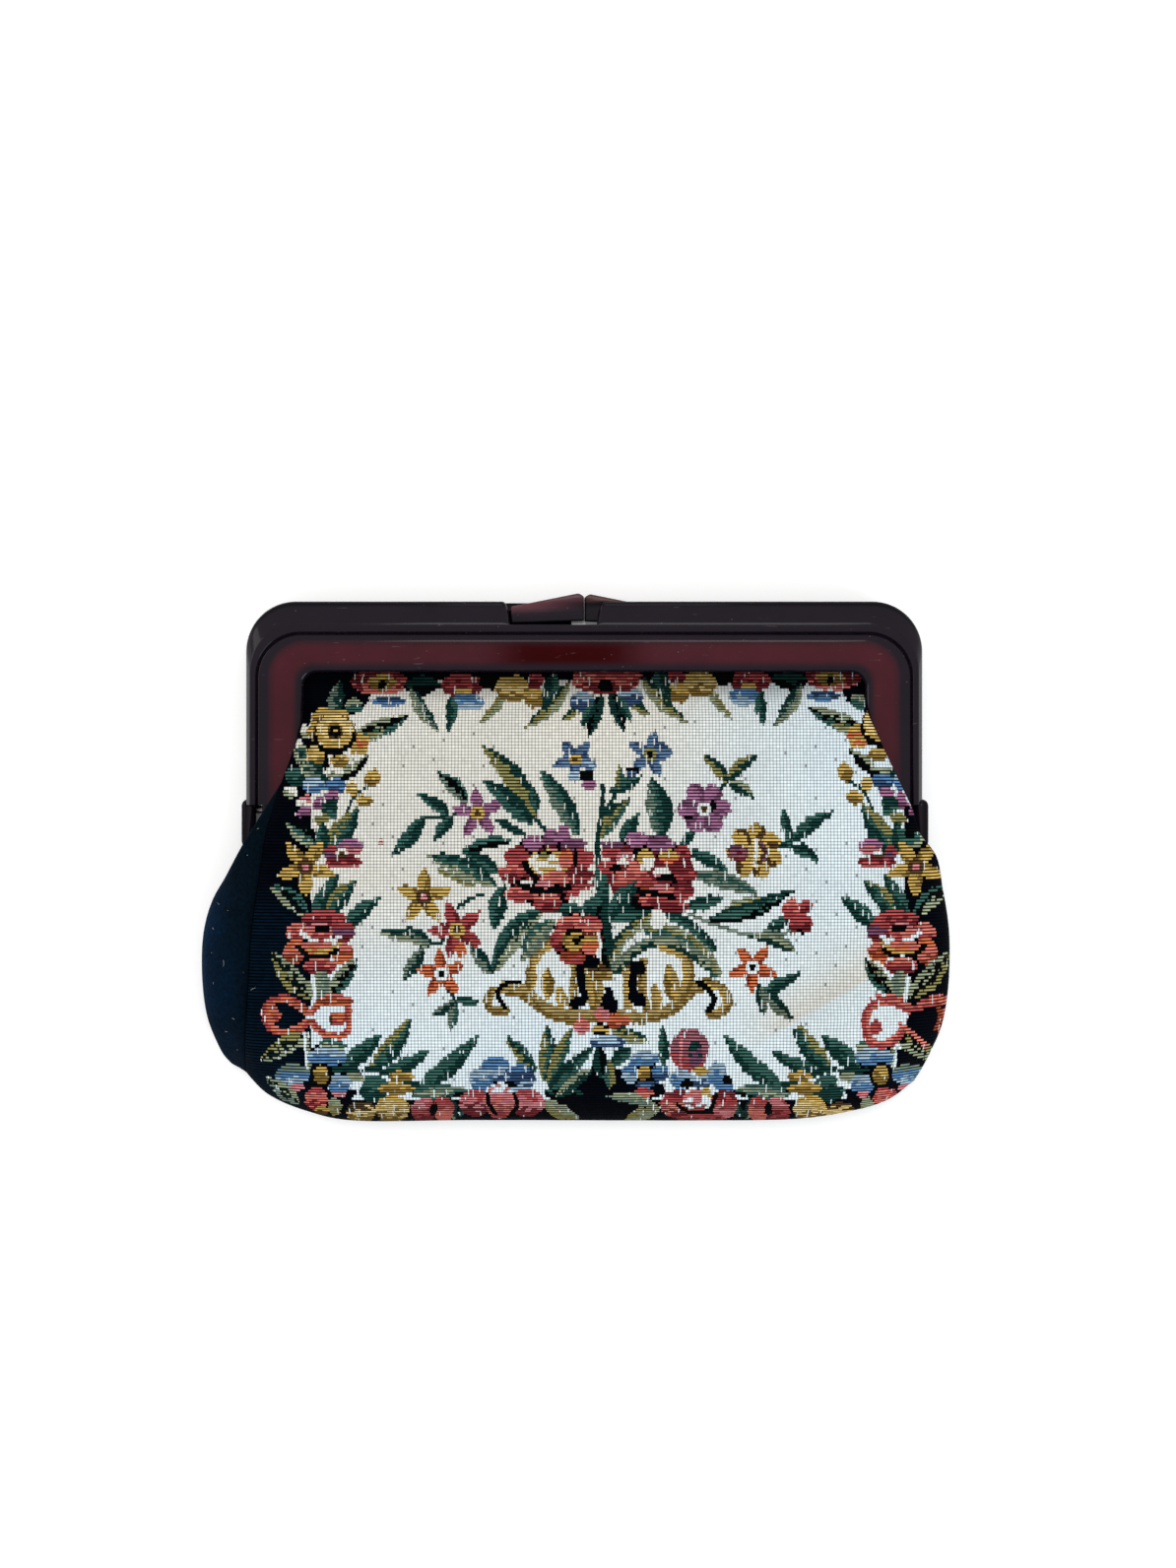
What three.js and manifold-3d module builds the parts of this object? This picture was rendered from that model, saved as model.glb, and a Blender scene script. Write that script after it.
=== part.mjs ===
// Framed clutch bag, lying on its back: a tapestry and velvet pouch in a two-part plastic frame with a snap
// clasp. Millimetres. X runs across the bag, +Y from the pouch to the clasp, +Z up from where it lies.
import * as THREE from 'three';
import { mergeVertices } from 'three/addons/utils/BufferGeometryUtils.js';
import Module from 'manifold-3d';

const wasm = await Module();
wasm.setup();

// Frame sizes
const FRAME_WIDTH = 205;
const FRAME_CENTRE_X = 2.6; // the frame sits a little to the right of the pouch's middle
const FRAME_TOP_Y = 78.2;
const LEG_END_Y = 16.5;
const RAIL_WIDTH = 21.6; // of the top rail, from the outline to the cloth
const LEG_WIDTH = 16.8;
const FLANGE_BACK = 6.3; // depth of the flange's back face from the parting plane
const HALF_DEPTH = 9.15; // from the parting plane to the crest of one half
const PARTING_GAP = 0.15; // what each half keeps clear of the parting plane
const CORNER_STEPS = 7;
const RAIL_STEPS = 6;
const LEG_STEPS = 2;

// The frame's section, from the outer wall over the crest to the inside. side and top are insets from the
// frame's outline at its legs and top rail, radius is the corner's, and depth is from the parting plane.
const FRAME_SECTION = [
  { line: 'outer wall foot', side: 0, top: 0, radius: 15, depth: PARTING_GAP },
  { line: 'outer wall top', side: 0, top: 0, radius: 15, depth: 5.6 },
  { line: 'rail bevel start', side: 0.35, top: 1.6, radius: 15, depth: 6.7 },
  { line: 'crest', side: 1.1, top: 6.8, radius: 15, depth: HALF_DEPTH },
  { line: 'lip', side: 2.4, top: 9.5, radius: 13.5, depth: HALF_DEPTH },
  { line: 'groove', side: 2.75, top: 9.95, radius: 13.3, depth: 7.7 },
  { line: 'shoulder', side: 3.1, top: 10.4, radius: 13, depth: 8.5 },
  { line: 'flange outer', side: 6.3, top: 12.2, radius: 11, depth: HALF_DEPTH },
  { line: 'flange inner', side: 14.2, top: 18.9, radius: 6, depth: HALF_DEPTH },
  { line: 'flange roll', side: 16.2, top: 21, radius: 4.8, depth: 8.5 },
  { line: 'inner edge front', side: LEG_WIDTH, top: RAIL_WIDTH, radius: 4.5, depth: 7.4 },
  { line: 'inner edge back', side: LEG_WIDTH, top: RAIL_WIDTH, radius: 4.5, depth: FLANGE_BACK },
  { line: 'hollow under crest', side: 3.6, top: 8.2, radius: 13, depth: FLANGE_BACK },
  { line: 'hollow under bevel', side: 2.4, top: 2.4, radius: 13.5, depth: 4.2 },
  { line: 'inner wall foot', side: 2.4, top: 2.4, radius: 13.5, depth: PARTING_GAP },
];

// Clasp: each half has a notch in its rail and, past the centre, a lug that reaches into the other notch.
const NOTCH = { near: -22.9, far: 3.8, floorY: 70.8 };
const LUG = {
  near: 0.15,
  far: 22.4,
  lowY: 73.2,
  farLowY: 71.5,
  farTopY: 76.1,
  topY: 80.6,
  front: 4,
  back: -6.5,
};
const LUG_ROUNDING = 0.5;

// Hinge: an ear outside one leg, a tongue inside the other, and a metal pin through both.
const HINGE_Y = 15;
const PIN_DIAMETER = 2.4;
const PIN_CLEARANCE = 0.3;
const PIN_SIDES = 16;
const EAR = { inner: 99.8, outer: 104.3, topY: 18, lowY: 3.4, front: 7.6, back: -5.2, round: 1.6 };
const EAR_CLEAR = { outside: 102.8, aboveY: 16.1 }; // room for the other half's leg
const TONGUE = { inner: 91.6, outer: 97.6, topY: 24, lowY: 11.2, front: 6.6, back: -3.6 };

// Pouch sizes
const CLOTH = 1.4;
const SEAM_GAP = 0.2; // what each panel keeps clear of a seam
const FRAME_GAP = 0.25; // what the cloth keeps clear of the flange that it is glued behind
const LEG_GAP = 0.4; // what it keeps clear of a leg that it passes over
const PARTING_Z = HALF_DEPTH;
const TUCK_FRONT_Z = PARTING_Z + FLANGE_BACK - FRAME_GAP; // outer face of the front cloth behind the flange
const TUCK_BACK_Z = PARTING_Z - FLANGE_BACK + FRAME_GAP;
const OVER_LEG_Z = 2 * HALF_DEPTH + CLOTH + LEG_GAP; // outer face of the front cloth over a leg
const FLANGE_EDGE_Y = FRAME_TOP_Y - RAIL_WIDTH;
const FLANGE_EDGE_X = FRAME_WIDTH / 2 - LEG_WIDTH; // from the frame's centre line
const FRONT_TUCK = { left: 45, right: 51.5 }; // how far down a leg the cloth stays behind the flange
const BACK_TUCK_END = LEG_END_Y - 2;
const TOP_SLOPE = 20; // length over which the cloth rises from the top flange to its full height
const LEG_SLOPE = 8; // the same beside a leg
const LEG_FLAT = 1.6; // how far past a leg's inner edge the cloth stays as low as behind it
const FRONT_ROUNDING = { side: 26, bottom: 24 };
const BACK_ROUNDING = 10;
const EDGE_HEIGHT = { hinge: OVER_LEG_Z, side: 9, bottom: 7 };
const HINGE_FALL = { fromY: 9, toY: -14 }; // where the outline comes down from the legs to the side seams
const BOTTOM_FALL = { fromY: -50, toY: -80 };
const STRAIGHT_SHARE = 0.45; // the share of a panel whose sections run straight across

// The front panel's sections from the frame to the bottom seam, each by its left and right end. The upper
// three lie behind the flange, the next two come out past its edge, and the rest follow the free edges and
// the seams.
const FRONT_SECTIONS = [
  { leftX: -87, leftY: 61, rightX: 92.2, rightY: 61 },
  { leftX: -87, leftY: 57.2, rightX: 92.2, rightY: 57.4 },
  { leftX: -86.4, leftY: 51, rightX: 90.5, rightY: 54.6 },
  { leftX: -82.6, leftY: 45.6, rightX: 87.8, rightY: 51.6 },
  { leftX: -82.6, leftY: 39.2, rightX: 87.8, rightY: 45 },
  { leftX: -85.2, leftY: 31.6, rightX: 92, rightY: 34.6 },
  { leftX: -88.4, leftY: 23, rightX: 96.9, rightY: 24.2 },
  { leftX: -90.7, leftY: 14.6, rightX: 101, rightY: 15.4 },
  { leftX: -92.8, leftY: 6.6, rightX: 103.4, rightY: 8 },
  { leftX: -94.2, leftY: -3, rightX: 109.2, rightY: 0.4 },
  { leftX: -95.6, leftY: -13, rightX: 112.6, rightY: -11.6 },
  { leftX: -96.8, leftY: -23.4, rightX: 114.2, rightY: -24 },
  { leftX: -97.7, leftY: -36, rightX: 113.9, rightY: -38.6 },
  { leftX: -98.6, leftY: -48, rightX: 112.1, rightY: -50 },
  { leftX: -99.6, leftY: -57, rightX: 108.7, rightY: -58.8 },
  { leftX: -100.5, leftY: -62.8, rightX: 105.7, rightY: -65 },
  { leftX: -101.1, leftY: -65.7, rightX: 103.8, rightY: -68.3 },
];
const FREE_EDGE_ROW = 3; // where the front cloth leaves the flange
const SEAM_TOP_ROW = 6; // where the velvet strip starts on the left
const RIGHT_HINGE_ROW = 8; // the last free edge before the right hinge

// The pouch's outline on the lying side. The first rows stand between the legs, the others follow it.
const BACK_SECTIONS = [
  { leftX: -101.5, leftY: 61, rightX: 108, rightY: 61 },
  { leftX: -101.5, leftY: 57.2, rightX: 108, rightY: 57.2 },
  { leftX: -101.5, leftY: 47, rightX: 108, rightY: 47 },
  { leftX: -101.5, leftY: 31, rightX: 108, rightY: 31 },
  { leftX: -101.5, leftY: 15, rightX: 108, rightY: 15 },
  { leftX: -101.5, leftY: 2.4, rightX: 108, rightY: 1.4 },
  { leftX: -106.2, leftY: -5, rightX: 110.4, rightY: -4.4 },
  { leftX: -111.2, leftY: -13, rightX: 112.8, rightY: -12.6 },
  { leftX: -113.9, leftY: -23.4, rightX: 114.2, rightY: -24 },
  { leftX: -114.2, leftY: -36, rightX: 113.9, rightY: -38.6 },
  { leftX: -112.7, leftY: -48, rightX: 112.1, rightY: -50 },
  { leftX: -109, leftY: -58, rightX: 108.7, rightY: -58.8 },
  { leftX: -106.9, leftY: -61.4, rightX: 105.7, rightY: -65 },
  { leftX: -105.5, leftY: -62.9, rightX: 103.8, rightY: -68.3 },
];
const BACK_HINGE_ROW = 5; // the first row that reaches out past the legs
const BACK_BETWEEN_LEGS = { from: -87, to: 92.2 };

// The tapestry's bottom seam, from the left corner to the right one. The velvet's starts further out.
const BOTTOM_SEAM = [
  { x: -101.1, y: -65.7 },
  { x: -94, y: -72.5 },
  { x: -82.6, y: -77.4 },
  { x: -67, y: -80.5 },
  { x: -30, y: -80.3 },
  { x: 36, y: -80.4 },
  { x: 66, y: -80 },
  { x: 83, y: -77.8 },
  { x: 95.4, y: -74.2 },
  { x: 103.8, y: -68.3 },
];

const OUTER_BOTTOM_SEAM = [{ x: -105.5, y: -62.9 }, ...BOTTOM_SEAM];

// Soft folds of the front: a ridge or dent along a line, with its height and its half width.
const FOLDS = [
  { fold: 'lower right ridge', fromX: 64, fromY: -50, toX: 88, toY: -37, height: 1, spread: 5 },
  { fold: 'lower right dent', fromX: 70, fromY: -38, toX: 94, toY: -24, height: -1.7, spread: 8 },
  { fold: 'dent below the right flange', fromX: 38, fromY: 36, toX: 54, toY: 34, height: -0.9, spread: 6 },
  { fold: 'dent below the left flange', fromX: -58, fromY: 32, toX: -38, toY: 33, height: -0.8, spread: 6 },
  { fold: 'slack above the seam', fromX: -56, fromY: -58, toX: 30, toY: -60, height: -0.7, spread: 7 },
];
const CROWN = [
  { y: 61, height: 23.6 },
  { y: 20, height: 24.4 },
  { y: -20, height: 25.8 },
  { y: -50, height: 24.6 },
  { y: -81, height: 22 },
];
const ROWS_PER_SECTION = 2;
const FRONT_COLUMNS = 34;
const STRIP_COLUMNS = 4;
const BACK_SIDE_COLUMNS = 5;
const BACK_MIDDLE_COLUMNS = 16;
const COLUMN_CROWDING = 0.72; // how much denser the columns are at the edges

const { lerp, clamp, smoothstep } = THREE.MathUtils;

// Closed meshes

function closedGeometry(points, triangles) {
  const geometry = new THREE.BufferGeometry();
  geometry.setAttribute('position', new THREE.Float32BufferAttribute(points.flat(), 3));
  const inward = enclosedVolume(points, triangles) < 0;
  geometry.setIndex(inward ? triangles.map(flipped).flat() : triangles.flat());
  return geometry;
}

function flipped([a, b, c]) {
  return [a, c, b];
}

function enclosedVolume(points, triangles) {
  const [a, b, c] = [new THREE.Vector3(), new THREE.Vector3(), new THREE.Vector3()];
  let volume = 0;
  for (const [i, j, k] of triangles) {
    a.fromArray(points[i]);
    b.fromArray(points[j]);
    c.fromArray(points[k]);
    volume += a.dot(b.cross(c)) / 6;
  }
  return volume;
}

function solidFrom(geometry) {
  const bare = geometry.clone();
  bare.deleteAttribute('normal');
  bare.deleteAttribute('uv');
  const merged = mergeVertices(bare, 1e-4);
  return new wasm.Manifold(new wasm.Mesh({
    numProp: 3,
    vertProperties: new Float32Array(merged.attributes.position.array),
    triVerts: new Uint32Array(merged.index.array),
  }));
}

function geometryFrom(solid) {
  const mesh = solid.getMesh();
  const geometry = new THREE.BufferGeometry();
  geometry.setAttribute('position', new THREE.Float32BufferAttribute(mesh.vertProperties, 3));
  geometry.setIndex(new THREE.Uint32BufferAttribute(mesh.triVerts, 1));
  return geometry;
}

function blockSolid(low, high) {
  const size = new THREE.Vector3(...high).sub(new THREE.Vector3(...low));
  const block = new THREE.BoxGeometry(size.x, size.y, size.z);
  block.translate(low[0] + size.x / 2, low[1] + size.y / 2, low[2] + size.z / 2);
  return solidFrom(block);
}

// Frame

// One line of the frame's section, as stations from the left leg's end round to the right leg's end.
function frameLine({ side, top, radius, depth }) {
  const half = FRAME_WIDTH / 2 - side;
  const topY = FRAME_TOP_Y - top;
  const leftHalf = [];
  for (let i = 0; i < LEG_STEPS; i += 1) {
    leftHalf.push([-half, lerp(LEG_END_Y, topY - radius, i / LEG_STEPS), depth]);
  }
  for (let i = 0; i <= CORNER_STEPS; i += 1) {
    const angle = (Math.PI / 2) * (i / CORNER_STEPS);
    const x = radius - half - radius * Math.cos(angle);
    const y = topY - radius + radius * Math.sin(angle);
    leftHalf.push([x, y, depth]);
  }
  const rail = [];
  for (let i = 1; i < RAIL_STEPS; i += 1) {
    rail.push([lerp(radius - half, half - radius, i / RAIL_STEPS), topY, depth]);
  }
  const rightHalf = leftHalf.map(([x, y, z]) => [-x, y, z]).reverse();
  return [...leftHalf, ...rail, ...rightHalf];
}

function frameRails() {
  const lines = FRAME_SECTION.map(frameLine);
  const stations = lines[0].length;
  const points = lines.flat();
  const triangles = [];
  lines.forEach((_, row) => {
    const next = (row + 1) % lines.length;
    for (let i = 0; i + 1 < stations; i += 1) {
      const [a, b] = [row * stations + i, row * stations + i + 1];
      const [c, d] = [next * stations + i, next * stations + i + 1];
      triangles.push([a, b, d], [a, d, c]);
    }
  });
  const outline = FRAME_SECTION.map(({ side, depth }) => new THREE.Vector2(side, depth));
  for (const [a, b, c] of THREE.ShapeUtils.triangulateShape(outline, [])) {
    const start = [a * stations, b * stations, c * stations];
    const end = start.map((index) => index + stations - 1);
    triangles.push(flipped(start), end);
  }
  return solidFrom(closedGeometry(points, triangles));
}

function claspNotch() {
  const past = 6;
  return blockSolid(
    [NOTCH.near, NOTCH.floorY, -HALF_DEPTH],
    [NOTCH.far, FRAME_TOP_Y + past, HALF_DEPTH + past],
  );
}

// The lug's face across the bag: tall at the centre line and falling to its far end.
function claspLug() {
  const inset = LUG_ROUNDING;
  const face = new THREE.Shape([
    new THREE.Vector2(LUG.near + inset, LUG.lowY + inset),
    new THREE.Vector2(LUG.far - inset, LUG.farLowY + inset),
    new THREE.Vector2(LUG.far - inset, LUG.farTopY - inset),
    new THREE.Vector2(LUG.near + 3 * inset, LUG.topY - inset),
    new THREE.Vector2(LUG.near + inset, LUG.topY - 2 * inset),
  ]);
  const lug = new THREE.ExtrudeGeometry(face, {
    depth: LUG.front - LUG.back - 2 * inset,
    bevelEnabled: true,
    bevelThickness: inset,
    bevelSize: inset,
    bevelSegments: 1,
  });
  lug.translate(0, 0, LUG.back + inset);
  return solidFrom(lug);
}

// A plate that stands across the hinge's axis, with a rounded outline seen along it.
function hingePlate({ inner, outer, topY, lowY, front, back }, round) {
  const outline = new THREE.Shape();
  outline.moveTo(lowY + round, back);
  outline.lineTo(topY - round, back);
  outline.quadraticCurveTo(topY, back, topY, back + round);
  outline.lineTo(topY, front - round);
  outline.quadraticCurveTo(topY, front, topY - round, front);
  outline.lineTo(lowY + round, front);
  outline.quadraticCurveTo(lowY, front, lowY, front - round);
  outline.lineTo(lowY, back + round);
  outline.quadraticCurveTo(lowY, back, lowY + round, back);
  const plate = new THREE.ExtrudeGeometry(outline, {
    depth: outer - inner,
    bevelEnabled: false,
    curveSegments: 4,
  });
  plate.applyMatrix4(new THREE.Matrix4().makeBasis(
    new THREE.Vector3(0, 1, 0),
    new THREE.Vector3(0, 0, 1),
    new THREE.Vector3(1, 0, 0),
  ));
  plate.translate(inner, 0, 0);
  return solidFrom(plate);
}

function hingeEar() {
  const clear = blockSolid(
    [0, EAR_CLEAR.aboveY, -HALF_DEPTH],
    [EAR_CLEAR.outside, FRAME_TOP_Y, PARTING_GAP],
  );
  return hingePlate(EAR, EAR.round).subtract(clear);
}

function pinCylinder(diameter, from, to) {
  const pin = new THREE.CylinderGeometry(diameter / 2, diameter / 2, to - from, PIN_SIDES);
  pin.rotateZ(Math.PI / 2);
  pin.translate((from + to) / 2, HINGE_Y, 0);
  return pin;
}

// One half of the frame about its centre line and parting plane, its face towards +Z.
function frameHalf() {
  const tongueAtLeft = { ...TONGUE, inner: -TONGUE.outer, outer: -TONGUE.inner };
  const bore = PIN_DIAMETER + 2 * PIN_CLEARANCE;
  const boreRight = solidFrom(pinCylinder(bore, TONGUE.inner - 1, EAR.outer + 1));
  const boreLeft = solidFrom(pinCylinder(bore, -EAR.outer - 1, 1 - TONGUE.inner));
  const half = frameRails()
    .subtract(claspNotch())
    .add(claspLug())
    .add(hingeEar())
    .add(hingePlate(tongueAtLeft, EAR.round))
    .subtract(boreRight)
    .subtract(boreLeft);
  return geometryFrom(half);
}

// Pouch

// The value of one column between the rows of a table, on a smooth curve through them.
function along(rows, key, position) {
  const index = clamp(Math.floor(position), 0, rows.length - 2);
  const t = position - index;
  const before = rows[Math.max(index - 1, 0)][key];
  const from = rows[index][key];
  const to = rows[index + 1][key];
  const after = rows[Math.min(index + 2, rows.length - 1)][key];
  const startSlope = (to - before) / 2;
  const endSlope = (after - from) / 2;
  const t2 = t * t;
  const t3 = t2 * t;
  const level = from * (2 * t3 - 3 * t2 + 1) + to * (3 * t2 - 2 * t3);
  return level + startSlope * (t3 - 2 * t2 + t) + endSlope * (t3 - t2);
}

// The value of one column where another column, which rises or falls all the way, has a given value.
function lookUp(rows, key, at, value) {
  const falling = rows[0][at] > rows[rows.length - 1][at];
  const steps = rows.map((row) => (falling ? -row[at] : row[at]));
  const wanted = clamp(falling ? -value : value, steps[0], steps[steps.length - 1]);
  const next = Math.max(steps.findIndex((step) => step >= wanted), 1);
  const t = (wanted - steps[next - 1]) / (steps[next] - steps[next - 1]);
  return lerp(rows[next - 1][key], rows[next][key], t);
}

function crowded(t) {
  return t - (COLUMN_CROWDING * Math.sin(2 * Math.PI * t)) / (2 * Math.PI);
}

function quarterRound(t) {
  const rest = 1 - clamp(t, 0, 1);
  return Math.sqrt(1 - rest * rest);
}

// The pouch's outline seen from the front: the free edges beside the legs, then the outline below them.
const HINGE_SECTION = BACK_SECTIONS[BACK_HINGE_ROW];
const LEFT_OUTLINE = [
  ...FRONT_SECTIONS.slice(FREE_EDGE_ROW, SEAM_TOP_ROW + 1),
  ...BACK_SECTIONS.slice(BACK_HINGE_ROW),
].map(({ leftX, leftY }) => ({ x: leftX, y: leftY }));
const RIGHT_OUTLINE = [
  ...FRONT_SECTIONS.slice(FREE_EDGE_ROW, RIGHT_HINGE_ROW + 1),
  ...BACK_SECTIONS.slice(BACK_HINGE_ROW),
].map(({ rightX, rightY }) => ({ x: rightX, y: rightY }));

function outlineLeft(y) {
  return lookUp(LEFT_OUTLINE, 'x', 'y', y);
}

function outlineRight(y) {
  return lookUp(RIGHT_OUTLINE, 'x', 'y', y);
}

function outlineBottom(x) {
  return lookUp(OUTER_BOTTOM_SEAM, 'y', 'x', x);
}

// Height of the line where front and back meet: over the legs at the hinges, then down to the side seams.
function edgeHeight(y) {
  const fall = smoothstep(-y, -HINGE_FALL.fromY, -HINGE_FALL.toY);
  const side = lerp(EDGE_HEIGHT.hinge, EDGE_HEIGHT.side, fall);
  return lerp(side, EDGE_HEIGHT.bottom, smoothstep(-y, -BOTTOM_FALL.fromY, -BOTTOM_FALL.toY));
}

function fullness(x, y, sideLength, bottomLength) {
  const left = quarterRound((x - outlineLeft(y)) / sideLength);
  const right = quarterRound((outlineRight(y) - x) / sideLength);
  const bottom = quarterRound((y - outlineBottom(x)) / bottomLength);
  return left * right * bottom;
}

function foldHeight(x, y) {
  const point = new THREE.Vector3(x, y, 0);
  const nearest = new THREE.Vector3();
  let height = 0;
  for (const row of FOLDS) {
    const line = new THREE.Line3(
      new THREE.Vector3(row.fromX, row.fromY, 0),
      new THREE.Vector3(row.toX, row.toY, 0),
    );
    line.closestPointToPoint(point, true, nearest);
    height += row.height * Math.exp(-((nearest.distanceTo(point) / row.spread) ** 2));
  }
  return height;
}

// How far the cloth has come out from behind the flange, from 0 to 1.
function clearOfFlange(x, y, leftEnd, rightEnd) {
  const top = smoothstep(FLANGE_EDGE_Y - y, 0, TOP_SLOPE);
  const across = x - FRAME_CENTRE_X;
  const legEnd = across < 0 ? leftEnd : rightEnd;
  const besideLeg = Math.max(FLANGE_EDGE_X - LEG_FLAT - Math.abs(across), 0);
  const belowLeg = Math.max(legEnd - y, 0);
  return Math.min(top, smoothstep(Math.hypot(besideLeg, belowLeg), 0, LEG_SLOPE));
}

function frontHeight(x, y) {
  const edge = edgeHeight(y) + SEAM_GAP;
  const crown = lookUp(CROWN, 'height', 'y', y);
  const full = fullness(x, y, FRONT_ROUNDING.side, FRONT_ROUNDING.bottom);
  const pillow = lerp(edge, crown + foldHeight(x, y), full);
  return lerp(TUCK_FRONT_Z, pillow, clearOfFlange(x, y, FRONT_TUCK.left, FRONT_TUCK.right));
}

function backHeight(x, y) {
  if (y > HINGE_SECTION.leftY) {
    return TUCK_BACK_Z * (1 - clearOfFlange(x, y, BACK_TUCK_END, BACK_TUCK_END));
  }
  const full = fullness(x, y, BACK_ROUNDING, BACK_ROUNDING);
  return (edgeHeight(y) - SEAM_GAP) * (1 - full);
}

// A point of a panel in plan: straight across between a section's ends, easing into the bottom seam.
function planPoint(sections, bottomSeam, position, across) {
  const end = sections.length - 1;
  const leftX = along(sections, 'leftX', position);
  const leftY = along(sections, 'leftY', position);
  const rightX = along(sections, 'rightX', position);
  const rightY = along(sections, 'rightY', position);
  const seam = across * (bottomSeam.length - 1);
  const first = bottomSeam[0];
  const last = bottomSeam[bottomSeam.length - 1];
  const ease = smoothstep(position, end * STRAIGHT_SHARE, end) * (position / end);
  const x = lerp(leftX, rightX, across);
  const y = lerp(leftY, rightY, across);
  const dropX = along(bottomSeam, 'x', seam) - lerp(first.x, last.x, across);
  const dropY = along(bottomSeam, 'y', seam) - lerp(first.y, last.y, across);
  return [x + ease * dropX, y + ease * dropY];
}

// A cloth wall on a grid of outer points, where some cells may be cut away. outward is 1 where the columns
// run to the right as seen from outside and -1 where they run to the left. level says where the wall's edge
// turns straight in, so that the two panels meet edge to edge along the outline.
function clothWall(grid, outward, hasCell, level) {
  const rows = grid.length;
  const columns = grid[0].length;
  const normals = cellNormals(grid, hasCell);
  const points = [];
  const outerIndex = new Map();
  const triangles = [];
  const vertex = (row, column) => {
    const key = row * columns + column;
    if (!outerIndex.has(key)) {
      const outer = new THREE.Vector3(...grid[row][column]);
      const normal = normals[row][column];
      if (level(row, column)) {
        normal.z = 0;
      }
      const inner = outer.clone().addScaledVector(normal.normalize(), -outward * CLOTH);
      outerIndex.set(key, points.length);
      points.push(outer.toArray(), inner.toArray());
    }
    return outerIndex.get(key);
  };
  const side = (from, to) => triangles.push([from, to, to + 1], [from, to + 1, from + 1]);
  for (let row = 0; row + 1 < rows; row += 1) {
    for (let column = 0; column + 1 < columns; column += 1) {
      if (!hasCell(row, column)) {
        continue;
      }
      const a = vertex(row, column);
      const b = vertex(row, column + 1);
      const c = vertex(row + 1, column + 1);
      const d = vertex(row + 1, column);
      triangles.push([a, d, c], [a, c, b], [a + 1, c + 1, d + 1], [a + 1, b + 1, c + 1]);
      if (!hasCell(row - 1, column)) side(a, b);
      if (!hasCell(row, column + 1)) side(b, c);
      if (!hasCell(row + 1, column)) side(c, d);
      if (!hasCell(row, column - 1)) side(d, a);
    }
  }
  return closedGeometry(points, triangles);
}

function cellNormals(grid, hasCell) {
  const normals = grid.map((row) => row.map(() => new THREE.Vector3()));
  const corner = (row, column) => new THREE.Vector3(...grid[row][column]);
  for (let row = 0; row + 1 < grid.length; row += 1) {
    for (let column = 0; column + 1 < grid[0].length; column += 1) {
      if (!hasCell(row, column)) {
        continue;
      }
      const down = corner(row + 1, column + 1).sub(corner(row, column));
      const across = corner(row, column + 1).sub(corner(row + 1, column));
      const normal = down.cross(across).normalize();
      for (const [r, c] of [[row, column], [row, column + 1], [row + 1, column], [row + 1, column + 1]]) {
        normals[r][c].add(normal);
      }
    }
  }
  return normals;
}

function tapestryPanel() {
  const rows = ROWS_PER_SECTION * (FRONT_SECTIONS.length - 1);
  const outlineRow = ROWS_PER_SECTION * RIGHT_HINGE_ROW + 1;
  const grid = [];
  for (let row = 0; row <= rows; row += 1) {
    const line = [];
    for (let column = 0; column <= FRONT_COLUMNS; column += 1) {
      const across = crowded(column / FRONT_COLUMNS);
      const [x, y] = planPoint(FRONT_SECTIONS, BOTTOM_SEAM, row / ROWS_PER_SECTION, across);
      const gap = column === 0 ? SEAM_GAP : 0;
      line.push([x + gap, y, frontHeight(x, y)]);
    }
    grid.push(line);
  }
  const hasCell = (row, column) => row >= 0 && row < rows && column >= 0 && column < FRONT_COLUMNS;
  const level = (row, column) => row === rows || (column === FRONT_COLUMNS && row > outlineRow);
  return clothWall(grid, 1, hasCell, level);
}

// The strip on the front runs from the seam with the tapestry out to the outline, where the back goes on.
function stripPoint(position, across) {
  const share = (position - BACK_HINGE_ROW) / (BACK_SECTIONS.length - 1 - BACK_HINGE_ROW);
  const seamAt = lerp(SEAM_TOP_ROW, FRONT_SECTIONS.length - 1, share);
  const outlineX = along(BACK_SECTIONS, 'leftX', position);
  const outlineY = along(BACK_SECTIONS, 'leftY', position);
  const seamX = along(FRONT_SECTIONS, 'leftX', seamAt) - SEAM_GAP;
  const seamY = along(FRONT_SECTIONS, 'leftY', seamAt);
  return [lerp(seamX, outlineX, across), lerp(seamY, outlineY, across)];
}

function backColumns() {
  const width = HINGE_SECTION.rightX - HINGE_SECTION.leftX;
  const from = (BACK_BETWEEN_LEGS.from - HINGE_SECTION.leftX) / width;
  const to = (BACK_BETWEEN_LEGS.to - HINGE_SECTION.leftX) / width;
  const columns = [];
  for (let i = 0; i < BACK_SIDE_COLUMNS; i += 1) {
    columns.push(from * (i / BACK_SIDE_COLUMNS) ** 2);
  }
  for (let i = 0; i < BACK_MIDDLE_COLUMNS; i += 1) {
    columns.push(lerp(from, to, crowded(i / BACK_MIDDLE_COLUMNS)));
  }
  for (let i = 0; i <= BACK_SIDE_COLUMNS; i += 1) {
    columns.push(1 - (1 - to) * (1 - i / BACK_SIDE_COLUMNS) ** 2);
  }
  return columns;
}

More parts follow.
